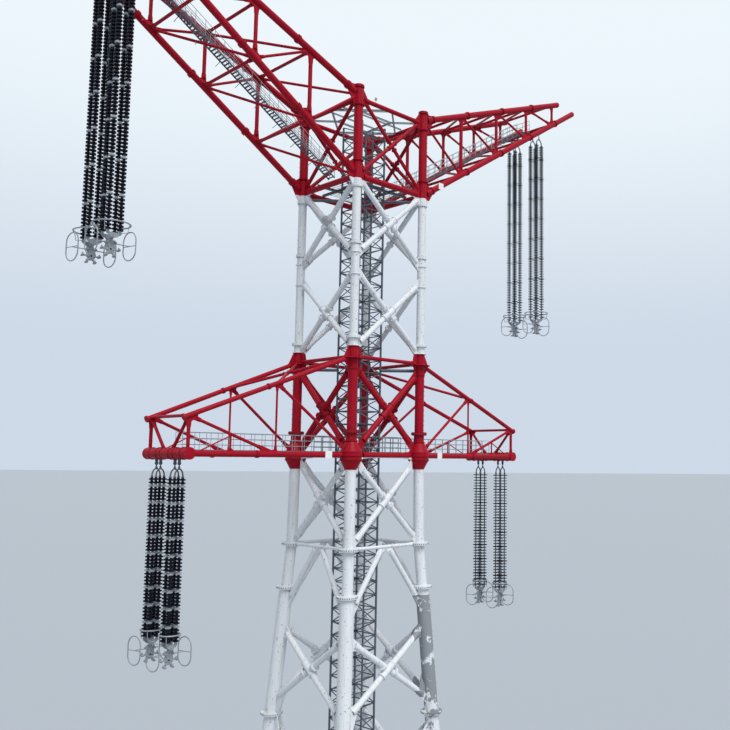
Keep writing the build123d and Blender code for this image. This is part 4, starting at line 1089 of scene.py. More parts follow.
# %% Upright plates of the leg nodes
PLATE_LAP = 1.7
PLATE_HALF, PLATE_HALF_AT_LAP = 1.3, 0.8
PLATE_SEAT, PLATE_SEAT_HALF = 0.8, 2.2
NODE_THICKNESS = 0.0085
SAME_NODE = 0.17
SAME_NODE_IN_WHITE_LEGS = 0.28
LEVEL_BAR = 0.6
HEADING_LEAST, HEADING_SHARE = 0.3, 0.97
WIDEST_PLATED_LEG = 0.08
RIM_REACH = 0.19
RIM_SHARE = 0.96
RING_THICKNESS = 0.008
RING_PLATES = (
    (30.623, 0.060),
    (30.527, 0.0955),
    (30.492, 0.101),
    (30.452, 0.0965),
    (31.456, 0.055),
    (31.349, 0.095),
    (31.255, 0.051),
    (32.30, 0.049),
    (32.10, 0.049),
    (32.906, 0.052),
    (33.14, 0.056),
    (33.66, 0.055),
)


def bar_ends_at_legs(bars):
    """Bar ends grouped by leg, by compass heading and by node."""
    groups = {}
    for bar in bars:
        for tip, inward in ends_of(bar):
            found = host_of(tip, all_tubes, NEAR_CARRIER)
            if not found:
                continue
            _, foot, host = found
            level = Vector((inward.x, inward.y, 0))
            if level.length < HEADING_LEAST:
                continue
            if max(abs(level.x), abs(level.y)) / level.length < HEADING_SHARE:
                continue
            heading = (round(level.normalized().x), round(level.normalized().y))
            key = (foot.x > 0, foot.y > 0, heading)
            groups.setdefault(key, []).append((foot.z, tip, inward, foot, host, bar.radius))
    return groups


def node_plate(shape, cluster, heading, rims):
    """One upright plate through all the bar ends of a node on one side of a leg."""
    level_bars = [member for member in cluster if abs(member[2].z) < LEVEL_BAR]
    if len(cluster) < 2 and not level_bars:
        return
    cluster = level_bars or cluster
    if cluster[0][4].radius > WIDEST_PLATED_LEG:
        return
    axis = cluster[0][4].direction
    side = Vector((heading[0], heading[1], 0))
    side = (side - axis * side.dot(axis)).normalized()
    origin = cluster[0][3]
    flat = []
    for _, tip, inward, foot, host, radius in cluster:
        across = Vector((-inward.z * heading[0], -inward.z * heading[1], 0))
        across += UP * hypot(inward.x, inward.y)
        tip = slotted_tip(tip, inward, radius, foot, host)
        lap = tip + inward * radius * PLATE_LAP
        for place, half in ((tip, PLATE_HALF), (lap, PLATE_HALF * PLATE_HALF_AT_LAP)):
            for sign in (-1, 1):
                corner = place + across * sign * radius * half - origin
                flat.append((round(corner.dot(side), 5), round(corner.dot(axis), 5)))
        seat = foot - origin
        for sign in (-1, 1):
            rise = seat.dot(axis) + sign * radius * PLATE_SEAT_HALF
            flat.append((round(host.radius * PLATE_SEAT, 5), round(rise, 5)))
    lowest, highest = cluster[0][0] - RIM_REACH, cluster[-1][0] + RIM_REACH
    for z, rim in rims:
        if lowest < z < highest:
            flat.append((round(rim * RIM_SHARE, 5), round(z - origin.z, 5)))
    outline = [origin + side * u + axis * v for u, v in hull(flat)]
    shape.plate(outline, side.cross(axis), NODE_THICKNESS)


meeting_bars = [bar for bars in bracing.values() for bar in bars]
for arm, side in ARMS:
    for kind in ("chords", "lattice"):
        meeting_bars += bars_of(f"{arm}_arm_{side}_{kind}")
plates = {name: Shape() for name in CORNERS}
for (right_leg, back_leg, heading), members in bar_ends_at_legs(meeting_bars).items():
    name = ("right" if right_leg else "left") + ("_back" if back_leg else "_front")
    members.sort(key=lambda member: member[0])
    rims = list(RING_PLATES) + [(disc.centre.z, disc.radius) for disc in leg_flanges[name]]
    cluster = [members[0]]
    for member in members[1:]:
        same = SAME_NODE_IN_WHITE_LEGS if member[0] < RED_EDGES[0] else SAME_NODE
        if member[0] - cluster[-1][0] > same:
            node_plate(plates[name], cluster, heading, rims)
            cluster = []
        cluster.append(member)
    node_plate(plates[name], cluster, heading, rims)
print("upright plates:", sum(len(shape.points) for shape in plates.values()))

# %% [markdown]
# A ring plate is a thin disc with a rounded rim, cut out of flat plate and slid over the
# leg before the upright plates go on. It sits level and centred on the leg at its height.

# %% Ring plates
LEG_FROM_MIDDLE = 0.405
RIM_ROUNDING = 0.002
for name, corner in CORNERS.items():
    for z, radius in RING_PLATES:
        probe = Vector((LEG_FROM_MIDDLE * corner[0], LEG_FROM_MIDDLE * corner[1], z))
        foot = min((tube.nearest(probe) for tube in leg_tubes[name]), key=lambda found: found[1])[0]
        rim = [(-RING_THICKNESS / 2, radius - RIM_ROUNDING), (-RING_THICKNESS / 4, radius)]
        rim += [(RING_THICKNESS / 4, radius), (RING_THICKNESS / 2, radius - RIM_ROUNDING)]
        plates[name].turned((foot.x, foot.y, z), UP, rim, STOUT_SIDES)
    finish_piece(f"node_plates_{name}", plates[name], paint)
report()

# %% [markdown]
# ## Leg fittings
# The flange pairs are bolted all round, with a neck ring on each side. The wide ones also
# carry a row of short, near-black studs round the rim: painted shade for the shadows
# between the flange's ribs and bolts. Step bolts stand out of each leg's outer edge
# all the way up, so that the leg can be climbed.

# %% Bolts, neck rings and step bolts on the legs
STEP_PITCH, STEP_LENGTH, STEP_RADIUS, STEP_SEAT = 0.046, 0.010, 0.0022, 0.004
LEAST_STEPPED, ON_THE_LEG = 0.3, 0.04
LEG_BOLT_RADIUS, BOLT_SHARE, BOLT_FROM_RIM, BOLT_STANDS_OUT = 0.0036, 0.3, 1.8, 0.009
WIDE_FLANGE, BOLTS_WIDE, BOLTS_NARROW = 0.08, 20, 14
NECK_RISE, NECK_INNER, NECK_OUTER = 0.004, 1.12, 0.8
SEAM_HALF, SEAM_PROUD, SEAM_DEPTH = 0.0012, 0.0006, 0.004
RIM_STUDS, RIM_STUD_RADIUS, RIM_STUD_LENGTH = 28, 0.0046, 0.0062
STUDDED_FROM, STUDDED_RIM = 0.5, 0.07


def band_across(half, inner, outer):
    """Profile of a ring: the same on both sides of its middle."""
    return [(-half, inner), (-half, outer), (half, outer), (half, inner)]


def dress_flange(shape, studs, disc, tube):
    """Bolts, neck ring, seam and rim studs of one flange pair; the studs are near-black, painted shade for
    the shadows between the flange's ribs and bolts.
    """
    rim, middle = disc.radius, disc.centre
    size = min(LEG_BOLT_RADIUS, (rim - tube) * BOLT_SHARE)
    count = BOLTS_WIDE if rim > WIDE_FLANGE else BOLTS_NARROW
    length = disc.thickness + BOLT_STANDS_OUT
    bolt_circle(shape, middle, UP, rim - size * BOLT_FROM_RIM, count, size, length)
    neck = band_across(disc.thickness / 2 + NECK_RISE, tube * NECK_INNER, rim * NECK_OUTER)
    shape.turned(middle, UP, neck, STOUT_SIDES)
    seam = band_across(SEAM_HALF, rim - SEAM_DEPTH, rim + SEAM_PROUD)
    shape.turned(middle, UP, seam, RIM_STUDS)
    if rim < STUDDED_RIM or middle.z < STUDDED_FROM:
        return
    # Near-black studs round the rim: painted shade where the shadows between the flange's ribs and bolts
    # fall.
    for number in range(RIM_STUDS):
        facing = heading_at(number, RIM_STUDS)
        start = middle + facing * (rim - SEAM_DEPTH)
        studs.turned(start, facing, [(0, RIM_STUD_RADIUS), (RIM_STUD_LENGTH, RIM_STUD_RADIUS)], 6)


for name, discs in leg_flanges.items():
    shape, studs = Shape(), Shape()
    for disc in discs:
        near = [bar for bar in leg_tubes[name] if bar.nearest(disc.centre)[1] < ON_THE_LEG]
        dress_flange(shape, studs, disc, min(bar.radius for bar in near))
    outward = Vector((CORNERS[name][0], CORNERS[name][1], 0)).normalized()
    for bar in leg_tubes[name]:
        if bar.length < LEAST_STEPPED:
            continue
        for number in range(int(bar.length / STEP_PITCH)):
            place = bar.start + bar.direction * (number + 0.5) * STEP_PITCH
            place = place + outward * (bar.radius - STEP_SEAT)
            shape.turned(place, outward, [(0, STEP_RADIUS), (STEP_LENGTH, STEP_RADIUS)], 5)
    finish_piece(f"fittings_leg_{name}", shape, leg_paint)
    # The rim studs' near-black finish is painted shade between the flange's ribs and bolts.
    finish_piece(f"rim_shade_studs_{name}", studs, painted_shade_studs)
report()

# %% [markdown]
# ## Lift shaft
# The shaft is an angle-steel lattice. Its bays are far finer than the frame's panels, and
# a ladder and two guide rails run up inside. An angle is two thin bars at right angles.

# %% Shaft lattice, ladder and guides
SHAFT_BAY = 0.12
ANGLE_WIDTH = 0.010
ANGLE_THICKNESS = 0.003
low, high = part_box("lift_shaft_posts")
POST_TO_LATTICE = 0.007
shaft_half = (high.x - low.x) / 2 - POST_TO_LATTICE
bay_count = round((high.z - low.z) / SHAFT_BAY)
bay = (high.z - low.z) / bay_count
for name, facing, along in (
    ("front", -ALONG_LINE, ALONG_ARMS),
    ("back", ALONG_LINE, ALONG_ARMS),
    ("left", -ALONG_ARMS, ALONG_LINE),
    ("right", ALONG_ARMS, ALONG_LINE),
):
    shape = Shape()
    for number in range(bay_count):
        middle = facing * shaft_half + UP * (low.z + number * bay)
        left, right = middle - along * shaft_half, middle + along * shaft_half
        first, second = (left, right) if number % 2 else (right, left)
        shape.beam(left, right, ANGLE_THICKNESS, ANGLE_WIDTH)
        shape.beam(left, right, ANGLE_WIDTH, ANGLE_THICKNESS)
        shape.beam(first, second + UP * bay, ANGLE_THICKNESS, ANGLE_WIDTH)
    pieces = ["lift_shaft_panels"] if name == "front" else []
    finish_piece(f"shaft_lattice_{name}", shape, dark_zinc, stands_for=pieces)
frame["nodes"]["lift_shaft_posts"].data.materials[0] = dark_zinc
LADDER_HALF, LADDER_INSET = 0.022, 0.03
RUNG_PITCH, RUNG_RADIUS = 0.03, 0.0015
shape = Shape()
inside = shaft_half - LADDER_INSET
for x in (-LADDER_HALF, LADDER_HALF):
    shape.beam((x, inside, low.z), (x, inside, high.z), 0.005, 0.008, ALONG_LINE)
for number in range(int((high.z - low.z) / RUNG_PITCH)):
    z = low.z + (number + 0.5) * RUNG_PITCH
    shape.tube((-LADDER_HALF, inside, z), (LADDER_HALF, inside, z), RUNG_RADIUS, 5)
for x in (-inside, inside):
    shape.beam((x, 0, low.z), (x, 0, high.z), 0.012, 0.012, ALONG_LINE)
finish_piece("shaft_ladder", shape, dark_zinc)
shape = Shape()
round_bars(shape, bars_of("lift_shaft_stays"), 12)
finish_piece("round_stays", shape, dark_zinc, stands_for=["lift_shaft_stays"])
report()

# %% [markdown]
# ## Walkways and the deck in the head
# The walkways up the steep upper arms are stairs: two stringers with narrow treads. The
# level ones in the lower arms are open grating. Railings are tube, with three rails.


# %% Makers of stairs, gratings and railings
RAIL_RADIUS, RAIL_HEIGHT, RAIL_POST_PITCH = 0.0026, 0.145, 0.105
RAIL_SHARES = (0.34, 0.67, 1.0)
TREAD_PITCH, TREAD_DEPTH, TREAD_THICKNESS = 0.030, 0.019, 0.0025
STRINGER_WIDTH, STRINGER_HEIGHT = 0.003, 0.016
STAY_PITCH, STAY_REACH, STAY_DROP, STAY_RADIUS = 0.23, 0.075, 0.02, 0.0028
CROSS_BAR_PITCH, BEARING_BARS = 0.016, 9
CROSS_DECK_HALF_LENGTH, CROSS_DECK_HALF_WIDTH, CROSS_DECK_BARS = 0.20, 0.026, 24
GALLERY_INNER, GALLERY_OUTER, GALLERY_BARS = 0.165, 0.285, 7
GALLERY_GATE = 0.06
END_SLACK = 0.01


def tube_railing(shape, start, end):
    """Posts and three rails of thin tube along one edge."""
    count = max(2, round((end - start).length / RAIL_POST_PITCH))
    for number in range(count + 1):
        foot = start.lerp(end, number / count)
        shape.tube(foot, foot + UP * RAIL_HEIGHT, RAIL_RADIUS, 6)
    for share in RAIL_SHARES:
        lift = UP * (RAIL_HEIGHT * share - RAIL_RADIUS)
        shape.tube(start + lift, end + lift, RAIL_RADIUS, 6)


def deck_line(points):
    """Middle of a walkway's top from its inner to its outer end, and its half width."""
    half_width = float(points[:, 1].max())
    inner = points[np.abs(points[:, 0]) < np.abs(points[:, 0]).min() + END_SLACK].mean(axis=0)
    outer = points[np.abs(points[:, 0]) > np.abs(points[:, 0]).max() - END_SLACK].mean(axis=0)
    return Vector((inner[0], 0, inner[2])), Vector((outer[0], 0, outer[2])), half_width


def stair(shape, inner, outer, half_width):
    """Treads and stringers, with stays from the stringers out to the chords."""
    length = (outer - inner).length
    width = ALONG_LINE * half_width
    for number in range(int(length / TREAD_PITCH)):
        place = inner.lerp(outer, (number + 0.5) * TREAD_PITCH / length)
        shape.beam(place - width, place + width, TREAD_DEPTH, TREAD_THICKNESS)
    for sign in (-1, 1):
        shape.beam(inner + width * sign, outer + width * sign, STRINGER_WIDTH, STRINGER_HEIGHT)
    for number in range(1, int(length / STAY_PITCH)):
        place = inner.lerp(outer, number * STAY_PITCH / length)
        for sign in (-1, 1):
            edge = place + width * sign
            chord_side = edge + ALONG_LINE * STAY_REACH * sign - UP * STAY_DROP
            shape.tube(edge, chord_side, STAY_RADIUS, 6)


def grating(shape, inner, outer, half_width):
    """Bearing bars along a deck, deeper at its edges, with cross bars over them."""
    length = (outer - inner).length
    width = ALONG_LINE * half_width
    for number in range(int(length / CROSS_BAR_PITCH)):
        place = inner.lerp(outer, (number + 0.5) * CROSS_BAR_PITCH / length)
        shape.beam(place - width, place + width, 0.003, 0.004)
    for number in range(BEARING_BARS):
        shift = width * (number / 4 - 1)
        height = 0.014 if number in (0, BEARING_BARS - 1) else 0.005
        shape.beam(inner + shift, outer + shift, 0.003, height)


def cross_deck(treads, rails, middle):
    """Short level platform from chord to chord at the top of a stair, with its railings."""
    ends = [middle + ALONG_LINE * CROSS_DECK_HALF_LENGTH * sign for sign in (-1, 1)]
    for number in range(CROSS_DECK_BARS):
        place = ends[0].lerp(ends[1], (number + 0.5) / CROSS_DECK_BARS)
        shift = ALONG_ARMS * CROSS_DECK_HALF_WIDTH
        treads.beam(place - shift, place + shift, 0.004, 0.004)
    for sign in (-1, 1):
        shift = ALONG_ARMS * CROSS_DECK_HALF_WIDTH * sign
        treads.beam(ends[0] + shift, ends[1] + shift, 0.003, 0.012)
        if shift.x * middle.x > 0:
            tube_railing(rails, ends[0] + shift, ends[1] + shift)


def gallery(treads, rails, z):
    """Square gallery of grating round the lift shaft, railed along its outer edge."""
    for across, along in CROSSWISE:
        half_run = along * GALLERY_OUTER
        gate = GALLERY_GATE if across == ALONG_ARMS else 0.0
        for sign in (-1, 1):
            for number in range(GALLERY_BARS):
                run = GALLERY_INNER + (GALLERY_OUTER - GALLERY_INNER) * number / (GALLERY_BARS - 1)
                middle = across * sign * run + UP * z
                height = 0.012 if number in (0, GALLERY_BARS - 1) else 0.004
                treads.beam(middle - half_run, middle + half_run, 0.003, height)
            edge = across * sign * GALLERY_OUTER + UP * z
            for side in (-1, 1):
                tube_railing(rails, edge + half_run * side, edge + along * side * gate)


print("railing:", RAIL_HEIGHT, "high with", len(RAIL_SHARES), "rails; treads every", TREAD_PITCH)

# %% [markdown]
# Each walkway of the frame is a plain slab. Its inner and outer end give the run of the
# stair or the grating. The stairs start close to the leg and stop at the short cross deck
# before the arm's tip. The gallery round the shaft lies level with the lower walkways.

# %% Walkways of both arms
STAIR_FOOT_REACH, STAIR_TOP_CUT, RAIL_INSET = 0.13, 0.15, 0.004
for arm in ("upper", "lower"):
    treads, rails = Shape(), Shape()
    for points in solids_of(f"{arm}_walkways"):
        inner, outer, half_width = deck_line(points)
        maker = stair if arm == "upper" else grating
        if maker is stair:
            inner = inner + (inner - outer).normalized() * STAIR_FOOT_REACH
            outer = outer + (inner - outer).normalized() * STAIR_TOP_CUT
            cross_deck(treads, rails, outer)
        maker(treads, inner, outer, half_width)
        for sign in (-1, 1):
            shift = ALONG_LINE * (half_width - RAIL_INSET) * sign
            tube_railing(rails, inner + shift, outer + shift)
    if arm == "lower":
        gallery(treads, rails, inner.z)
    finish_piece(f"{arm}_treads", treads, dark_zinc, stands_for=[f"{arm}_walkways"])
    finish_piece(f"{arm}_tube_railings", rails, zinc_steel, stands_for=[f"{arm}_railings"])
report()

# %% [markdown]
# In the head a frame of I-beams carries the deck round the shaft: two pairs of beams across
# each other below, and a square and a diamond between the ring struts above.


# %% Head frames and deck
I_PLATE, I_WEB = 0.004, 0.96
DECK_BEAM, DIAMOND_BEAM = (0.024, 0.016), (0.022, 0.014)
SQUARE_BEAM, RAIL_BEAM = (0.018, 0.012), (0.014, 0.010)
DECK_BARS, DECK_EDGE, DECK_RISE, SHAFT_CLEAR = 5, 0.03, 0.014, 0.035
HEAD_FRAME_Z, DIAMOND_HALF, SQUARE_HALF, CORNER_REACH = 33.735, 0.40, 0.18, 2.0
RAILS_Y, RAILS_RISE = 0.09, 0.02


def i_beam(shape, start, end, size):
    """Two flanges and a web; size is height and width."""
    height, width = size
    shape.beam(start, end, I_PLATE, height * I_WEB)
    for sign in (-1, 1):
        lift = UP * sign * (height / 2 - I_PLATE / 2)
        shape.beam(Vector(start) + lift, Vector(end) + lift, width, I_PLATE)


deck_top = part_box("head_platform")[1]
shaft_edge = shaft_half + SHAFT_CLEAR
shape = Shape()
for across, along in CROSSWISE:
    run, deck = along * deck_top.x, UP * deck_top.z
    for offset in (-shaft_edge, shaft_edge):
        i_beam(shape, across * offset - run + deck, across * offset + run + deck, DECK_BEAM)
    for sign in (-1, 1):
        for number in range(DECK_BARS):
            out = shaft_edge + (deck_top.x - shaft_edge - DECK_EDGE) * (number + 0.5) / DECK_BARS
            middle = across * sign * out + UP * (deck_top.z + DECK_RISE)
            shape.beam(middle - along * shaft_edge, middle + along * shaft_edge, 0.003, 0.004)
finish_piece("head_deck", shape, dark_zinc, stands_for=["head_platform"])
shape = Shape()
lift = UP * HEAD_FRAME_Z
diamond = [Vector((x, y, 0)) * DIAMOND_HALF + lift for x, y in ((1, 0), (0, 1), (-1, 0), (0, -1))]
square = [Vector((x, y, 0)) * SQUARE_HALF + lift for x, y in ((1, 1), (-1, 1), (-1, -1), (1, -1))]
for number in range(4):
    after = (number + 1) % 4
    i_beam(shape, diamond[number], diamond[after], DIAMOND_BEAM)
    i_beam(shape, square[number], square[after], SQUARE_BEAM)
    corner = square[number]
    leg_side = Vector((corner.x * CORNER_REACH, corner.y * CORNER_REACH, HEAD_FRAME_Z))
    i_beam(shape, corner, leg_side, SQUARE_BEAM)
for sign in (-1, 1):
    y, z = sign * RAILS_Y, HEAD_FRAME_Z + RAILS_RISE
    i_beam(shape, (-DIAMOND_HALF, y, z), (DIAMOND_HALF, y, z), RAIL_BEAM)
finish_piece("head_frame", shape, zinc_steel)
report()

# %% [markdown]
# The obstruction lamps are small glass domes on thin posts. Two pale hoops cross over each
# dome and guard it. A dome is a turned profile, and a hoop is a rod swept along a circle.


# %% Obstruction lamps
def circle_path(centre, first, second, radius, count=36):
    """Points of a circle in the plane of two directions."""
    turns = [2 * pi * step / count for step in range(count)]
    return [centre + first * radius * cos(turn) + second * radius * sin(turn) for turn in turns]


HOOP_RADIUS, HOOP_TUBE, HOOP_RISE = 0.016, 0.0028, 0.008
DOME_RISE = 0.030
DOME = ((0, 0.007), (0.006, 0.0075), (0.013, 0.006), (0.017, 0.002))
lamp_bodies, hoops = Shape(), Shape()
for points in solids_of("obstruction_lamps"):
    low, high = corners_of(points)
    foot = Vector(((low.x + high.x) / 2, (low.y + high.y) / 2, low.z))
    hoops.tube(foot, foot + UP * DOME_RISE, 0.003, 8)
    lamp_bodies.turned(foot, UP, [(DOME_RISE + rise, radius) for rise, radius in DOME], 14)
    for facing in (ALONG_ARMS, ALONG_LINE):
        ring = circle_path(foot + UP * (DOME_RISE + HOOP_RISE), facing, UP, HOOP_RADIUS, 20)
        hoops.swept(ring, HOOP_TUBE, 6, closed=True)
finish_piece("lamp_domes", lamp_bodies, lamp_glass, stands_for=["obstruction_lamps"])
finish_piece("lamp_hoops", hoops, enamel)
report()

# %% [markdown]
# The feet are stiffened by upright ribs, welded between the leg and its base plate, and
# are held down by nuts on long anchor bolts. The plate stays as the frame has it.

# %% Ribs and nuts of the feet
FOOT_RIBS, FOOT_NUTS = 12, 12
RIB_HEIGHT, RIB_THICKNESS, RIB_TOE = 0.11, 0.012, 0.18
RIB_INNER, RIB_OUTER, NUT_CIRCLE, EDGE_SHARE = 0.9, 0.93, 0.88, 0.45
NUT_RADIUS, NUT_HEIGHT, ROD_SHARE = 0.011, 0.012, 0.55
shape = Shape()
for points in solids_of("foot_plates"):
    low, high = corners_of(points)
    centre = Vector(((low.x + high.x) / 2, (low.y + high.y) / 2, 0))
    outside = np.hypot(points[:, 0] - centre.x, points[:, 1] - centre.y) > (high.x - low.x) * EDGE_SHARE
    rim = (high.x - low.x) / 2
    leg = min(all_tubes, key=lambda bar: bar.nearest(centre)[1])
    seat = leg.nearest(centre)[0]
    middle = Vector((seat.x, seat.y, points[:, 2][outside].max()))
    for number in range(FOOT_RIBS):
        facing = heading_at(number, FOOT_RIBS, 0.5)
        inner, outer = middle + facing * leg.radius * RIB_INNER, middle + facing * rim * RIB_OUTER
        outline = [inner, outer, outer + UP * RIB_HEIGHT * RIB_TOE, inner + UP * RIB_HEIGHT]
        shape.plate(outline, facing.cross(UP), RIB_THICKNESS)
    for number in range(FOOT_NUTS):
        place = middle + heading_at(number, FOOT_NUTS) * rim * NUT_CIRCLE
        rod = NUT_RADIUS * ROD_SHARE
        shape.turned(place, UP, [(0, NUT_RADIUS), (NUT_HEIGHT, NUT_RADIUS)], 6)
        shape.turned(place, UP, [(0, rod), (NUT_HEIGHT * 2, rod)], 8)
finish_piece("foot_ribs", shape, zinc_steel)
report()

# %% [markdown]
# ## Insulator sets
# On the left each string is a stack of cap-and-pin discs, and on the upper sets every
# tenth one is a paler disc. On the right each string is one long rod with thin sheds, and
# every eighth shed is wider and darker. On the lower sets it is every fifth on both sides.
# Both are turned profiles, read from the four strings that the frame has in each set.


# %% Strings of discs and sheds
LEAST_STRING, SLIM_STRING = 0.8, 0.05


def disc_profile(z, pitch, radius, core):
    """One cap-and-pin disc: its broad rim, and the cap and the pin that join it to others."""
    return [
        (z + pitch * 0.04, core),
        (z + pitch * 0.10, radius * 0.95),
        (z + pitch * 0.18, radius),
        (z + pitch * 0.50, radius * 0.98),
        (z + pitch * 0.64, core * 1.1),
        (z + pitch * 0.96, core),
    ]


def shed_profile(z, pitch, radius, core):
    """One thin shed on a rod."""
    return [
        (z + pitch * 0.22, core),
        (z + pitch * 0.26, radius),
        (z + pitch * 0.52, radius * 0.96),
        (z + pitch * 0.58, core),
    ]


def strings_of(node):
    """The four strings of a set: its tall, slim solids, each from its foot upwards."""
    strings = [bar for bar in bars_of(node) if bar.length > LEAST_STRING and bar.radius < SLIM_STRING]
    for bar in strings:
        bar.start.z, bar.end.z = sorted((bar.start.z, bar.end.z))
        bar.direction = UP.copy()
    return strings


STRING_SIDES, CORE_SIDES, CORE_FILL = 12, 8, 0.9
DISC, SHED, MARKED_SHED = 1.1, 1.45, 1.75
CORE = {"left": 0.010, "right": 0.006}
DISC_PITCH, SHED_PITCH = {"upper": 0.0285, "lower": 0.026}, 0.030
MARKED_EVERY = {("upper", "left"): 10, ("upper", "right"): 8, ("lower", "left"): 5, ("lower", "right"): 5}


def dress_string(shape, marked_shape, bar, arm, side):
    """Discs or sheds of one string, evenly spread over its length, and its core."""
    pitch = DISC_PITCH[arm] if side == "left" else SHED_PITCH
    count = round(bar.length / pitch)
    pitch = bar.length / count
    every, core = MARKED_EVERY[arm, side], CORE[side]
    for number in range(count):
        z = number * pitch
        marked = number % every == every - 1
        if side == "left":
            profile = disc_profile(z, pitch, bar.radius * DISC, core)
        else:
            profile = shed_profile(z, pitch, bar.radius * (MARKED_SHED if marked else SHED), core)
        (marked_shape if marked else shape).turned(bar.start, UP, profile, STRING_SIDES)
    shape.turned(bar.start, UP, [(0, core * CORE_FILL), (bar.length, core * CORE_FILL)], CORE_SIDES)


STRING_FINISH = {"left": (glaze, zinc_steel), "right": (rubber, dark_rubber)}
for arm, side, place in SETS:
    name = f"{arm}_{side}_{place}"
    shape, marked_shape = Shape(), Shape()
    for bar in strings_of(f"insulator_set_{name}"):
        dress_string(shape, marked_shape, bar, arm, side)
    finish, marked_finish = STRING_FINISH[side]
    finish_piece(f"strings_{name}", shape, finish, f"set_{name}", [f"insulator_set_{name}"])
    finish_piece(f"marked_discs_{name}", marked_shape, marked_finish, f"set_{name}")
report()

# %% [markdown]
# The fittings above the strings are forged and bent steel: an eye on the pin, a rod down
# from it, and an arched yoke that spreads to two strings. Each rod is followed up from the
# pair of strings that shares it, so the eyes land on the hinge's own pin.


# %% Eyes, rods and arched yokes
EYE_RADIUS, EYE_TUBE, ROD_RADIUS = 0.0115, 0.0042, 0.0045
CROWN_RISE, CROWN_NUT_DROP = 0.072, 0.010
CROWN_NUT = ((0, 0.009), (0.016, 0.009), (0.024, 0.005))
ARCH_FOOT, ARCH_RISE, ARCH_TUBE, ARCH_STEPS = 0.012, 0.052, 0.006, 12
STRING_CAP = ((-0.006, 0.010), (0.006, 0.010), (0.012, 0.007), (0.020, 0.005))
SAME_ROD = 0.002
pins = {row["child"]: Vector(row["pos_m"]) for row in frame["record"]["behaviour"]["joints"]}


def top_fittings(shape, pin_z, strings):
    """Eye, rod, arched yoke and two caps for each pair of strings that share a rod."""
    for y in sorted({round(bar.start.y, 4) for bar in strings}):
        pair = [bar for bar in strings if abs(bar.start.y - y) < SAME_ROD]
        left, right = (bar.end for bar in sorted(pair, key=lambda bar: bar.start.x))
        middle = Vector(((left.x + right.x) / 2, y, pin_z))
        crown = left.z + CROWN_RISE
        shape.swept(circle_path(middle, ALONG_ARMS, UP, EYE_RADIUS, 16), EYE_TUBE, 6, closed=True)
        shape.tube((middle.x, y, pin_z - EYE_RADIUS), (middle.x, y, crown), ROD_RADIUS, 10)
        shape.turned((middle.x, y, crown - CROWN_NUT_DROP), UP, CROWN_NUT, 10)
        arch = []
        for step in range(ARCH_STEPS + 1):
            turn = pi * step / ARCH_STEPS
            x = middle.x - (right.x - left.x) / 2 * cos(turn)
            arch.append((x, y, left.z + ARCH_FOOT + ARCH_RISE * sin(turn)))
        shape.swept(arch, ARCH_TUBE, 8)
        for foot in (left, right):
            shape.turned(foot, UP, STRING_CAP, 10)


for arm, side, place in SETS:
    name = f"{arm}_{side}_{place}"
    shape = Shape()
    top_fittings(shape, pins[f"set_{name}"].z, strings_of(f"insulator_set_{name}"))
    finish_piece(f"set_yokes_{name}", shape, dark_zinc, f"set_{name}")
report()

# %% [markdown]
# Round the feet of the strings lies a grading ring on four bent arms. Below them hang two
# triangular yokes joined by a cross bar, a stem with the bundle plate, and six boat-shaped
# clamps round it. Two upright racetrack rings shield them, turned a little about the
# vertical. The parts are bent rod and cut plate, all galvanized.


# %% Makers of the lower fittings
GRADING_RISE, GRADING_INSET, RING_TUBE = 0.055, 0.006, 0.0055
BENT_ARM_DROP, BENT_ARM_REACH, BENT_ARM_TUBE = 0.012, 0.8, 0.003
STRING_FOOT = ((-0.024, 0.006), (-0.014, 0.010), (0.004, 0.010))
YOKE_DROP, YOKE_EDGE, YOKE_HALF = 0.020, 0.010, 0.006
YOKE_TIP, YOKE_LOW, YOKE_THICKNESS = 0.012, 0.052, 0.006
CROSS_BAR_DROP, CROSS_BAR_END, CROSS_BAR_RADIUS = 0.050, 0.008, 0.007
STEM_DROP, STEM_RADIUS = 0.14, 0.006
BUNDLE_RADIUS, BUNDLE_RISE, BUNDLE_THICKNESS, CLAMPS = 0.062, 0.012, 0.008, 6
BUNDLE_HALF = ((0.22, 1.30), (0.50, 0.45), (0.62, 0.05), (0.30, -0.55))
CLAMP = ((-0.032, 0.003), (-0.024, 0.006), (-0.010, 0.010), (0.010, 0.010), (0.024, 0.006), (0.032, 0.003))
SPOKE_WIDTH, SPOKE_HEIGHT, CIRCLE_SQUASH = 0.010, 0.016, 0.9
STUD_FOOT, STUD_TOP, STUD_RADIUS = 0.004, 0.020, 0.006
SHIELD_ROD, SHIELD_BAR = 0.004, 0.003
SHIELD_DROP, SHIELD_TURN, UPPER_SET_FLOOR = 0.085, -0.22, 31.5
SHIELD_HALF_WIDTH, SHIELD_HALF_HEIGHT, SHIELD_TUBE = 0.0695, 0.107, 0.0045
SHIELD_REACH_UPPER, SHIELD_REACH_LOWER = 0.72, 0.9


def racetrack_path(centre, first, second, half_width, half_height, count=12):
    """Points of an upright racetrack: two half circles joined by straight sides."""
    straight = half_height - half_width
    path = []
    for sign in (1, -1):
        for step in range(count + 1):
            turn = pi * step / count
            level = first * half_width * cos(turn) * sign
            path.append(centre + level + second * sign * (straight + half_width * sin(turn)))
    return path


def grading_ring(shape, centre, radius, foot_z, strings):
    """Level ring round the feet of the strings, with a bent arm to each of them."""
    ring_centre = Vector((centre.x, centre.y, foot_z + GRADING_RISE))
    shape.swept(circle_path(ring_centre, ALONG_ARMS, ALONG_LINE, radius, 48), RING_TUBE, 8, closed=True)
    for bar in strings:
        outward = Vector((bar.start.x - centre.x, bar.start.y - centre.y, 0)).normalized()
        foot = Vector((bar.start.x, bar.start.y, foot_z - BENT_ARM_DROP))
        bend = foot + outward * (radius - (foot - ring_centre).to_2d().length) * BENT_ARM_REACH
        shape.swept([foot, bend, ring_centre + outward * radius], BENT_ARM_TUBE, 6)
        shape.turned(bar.start, UP, STRING_FOOT, 10)


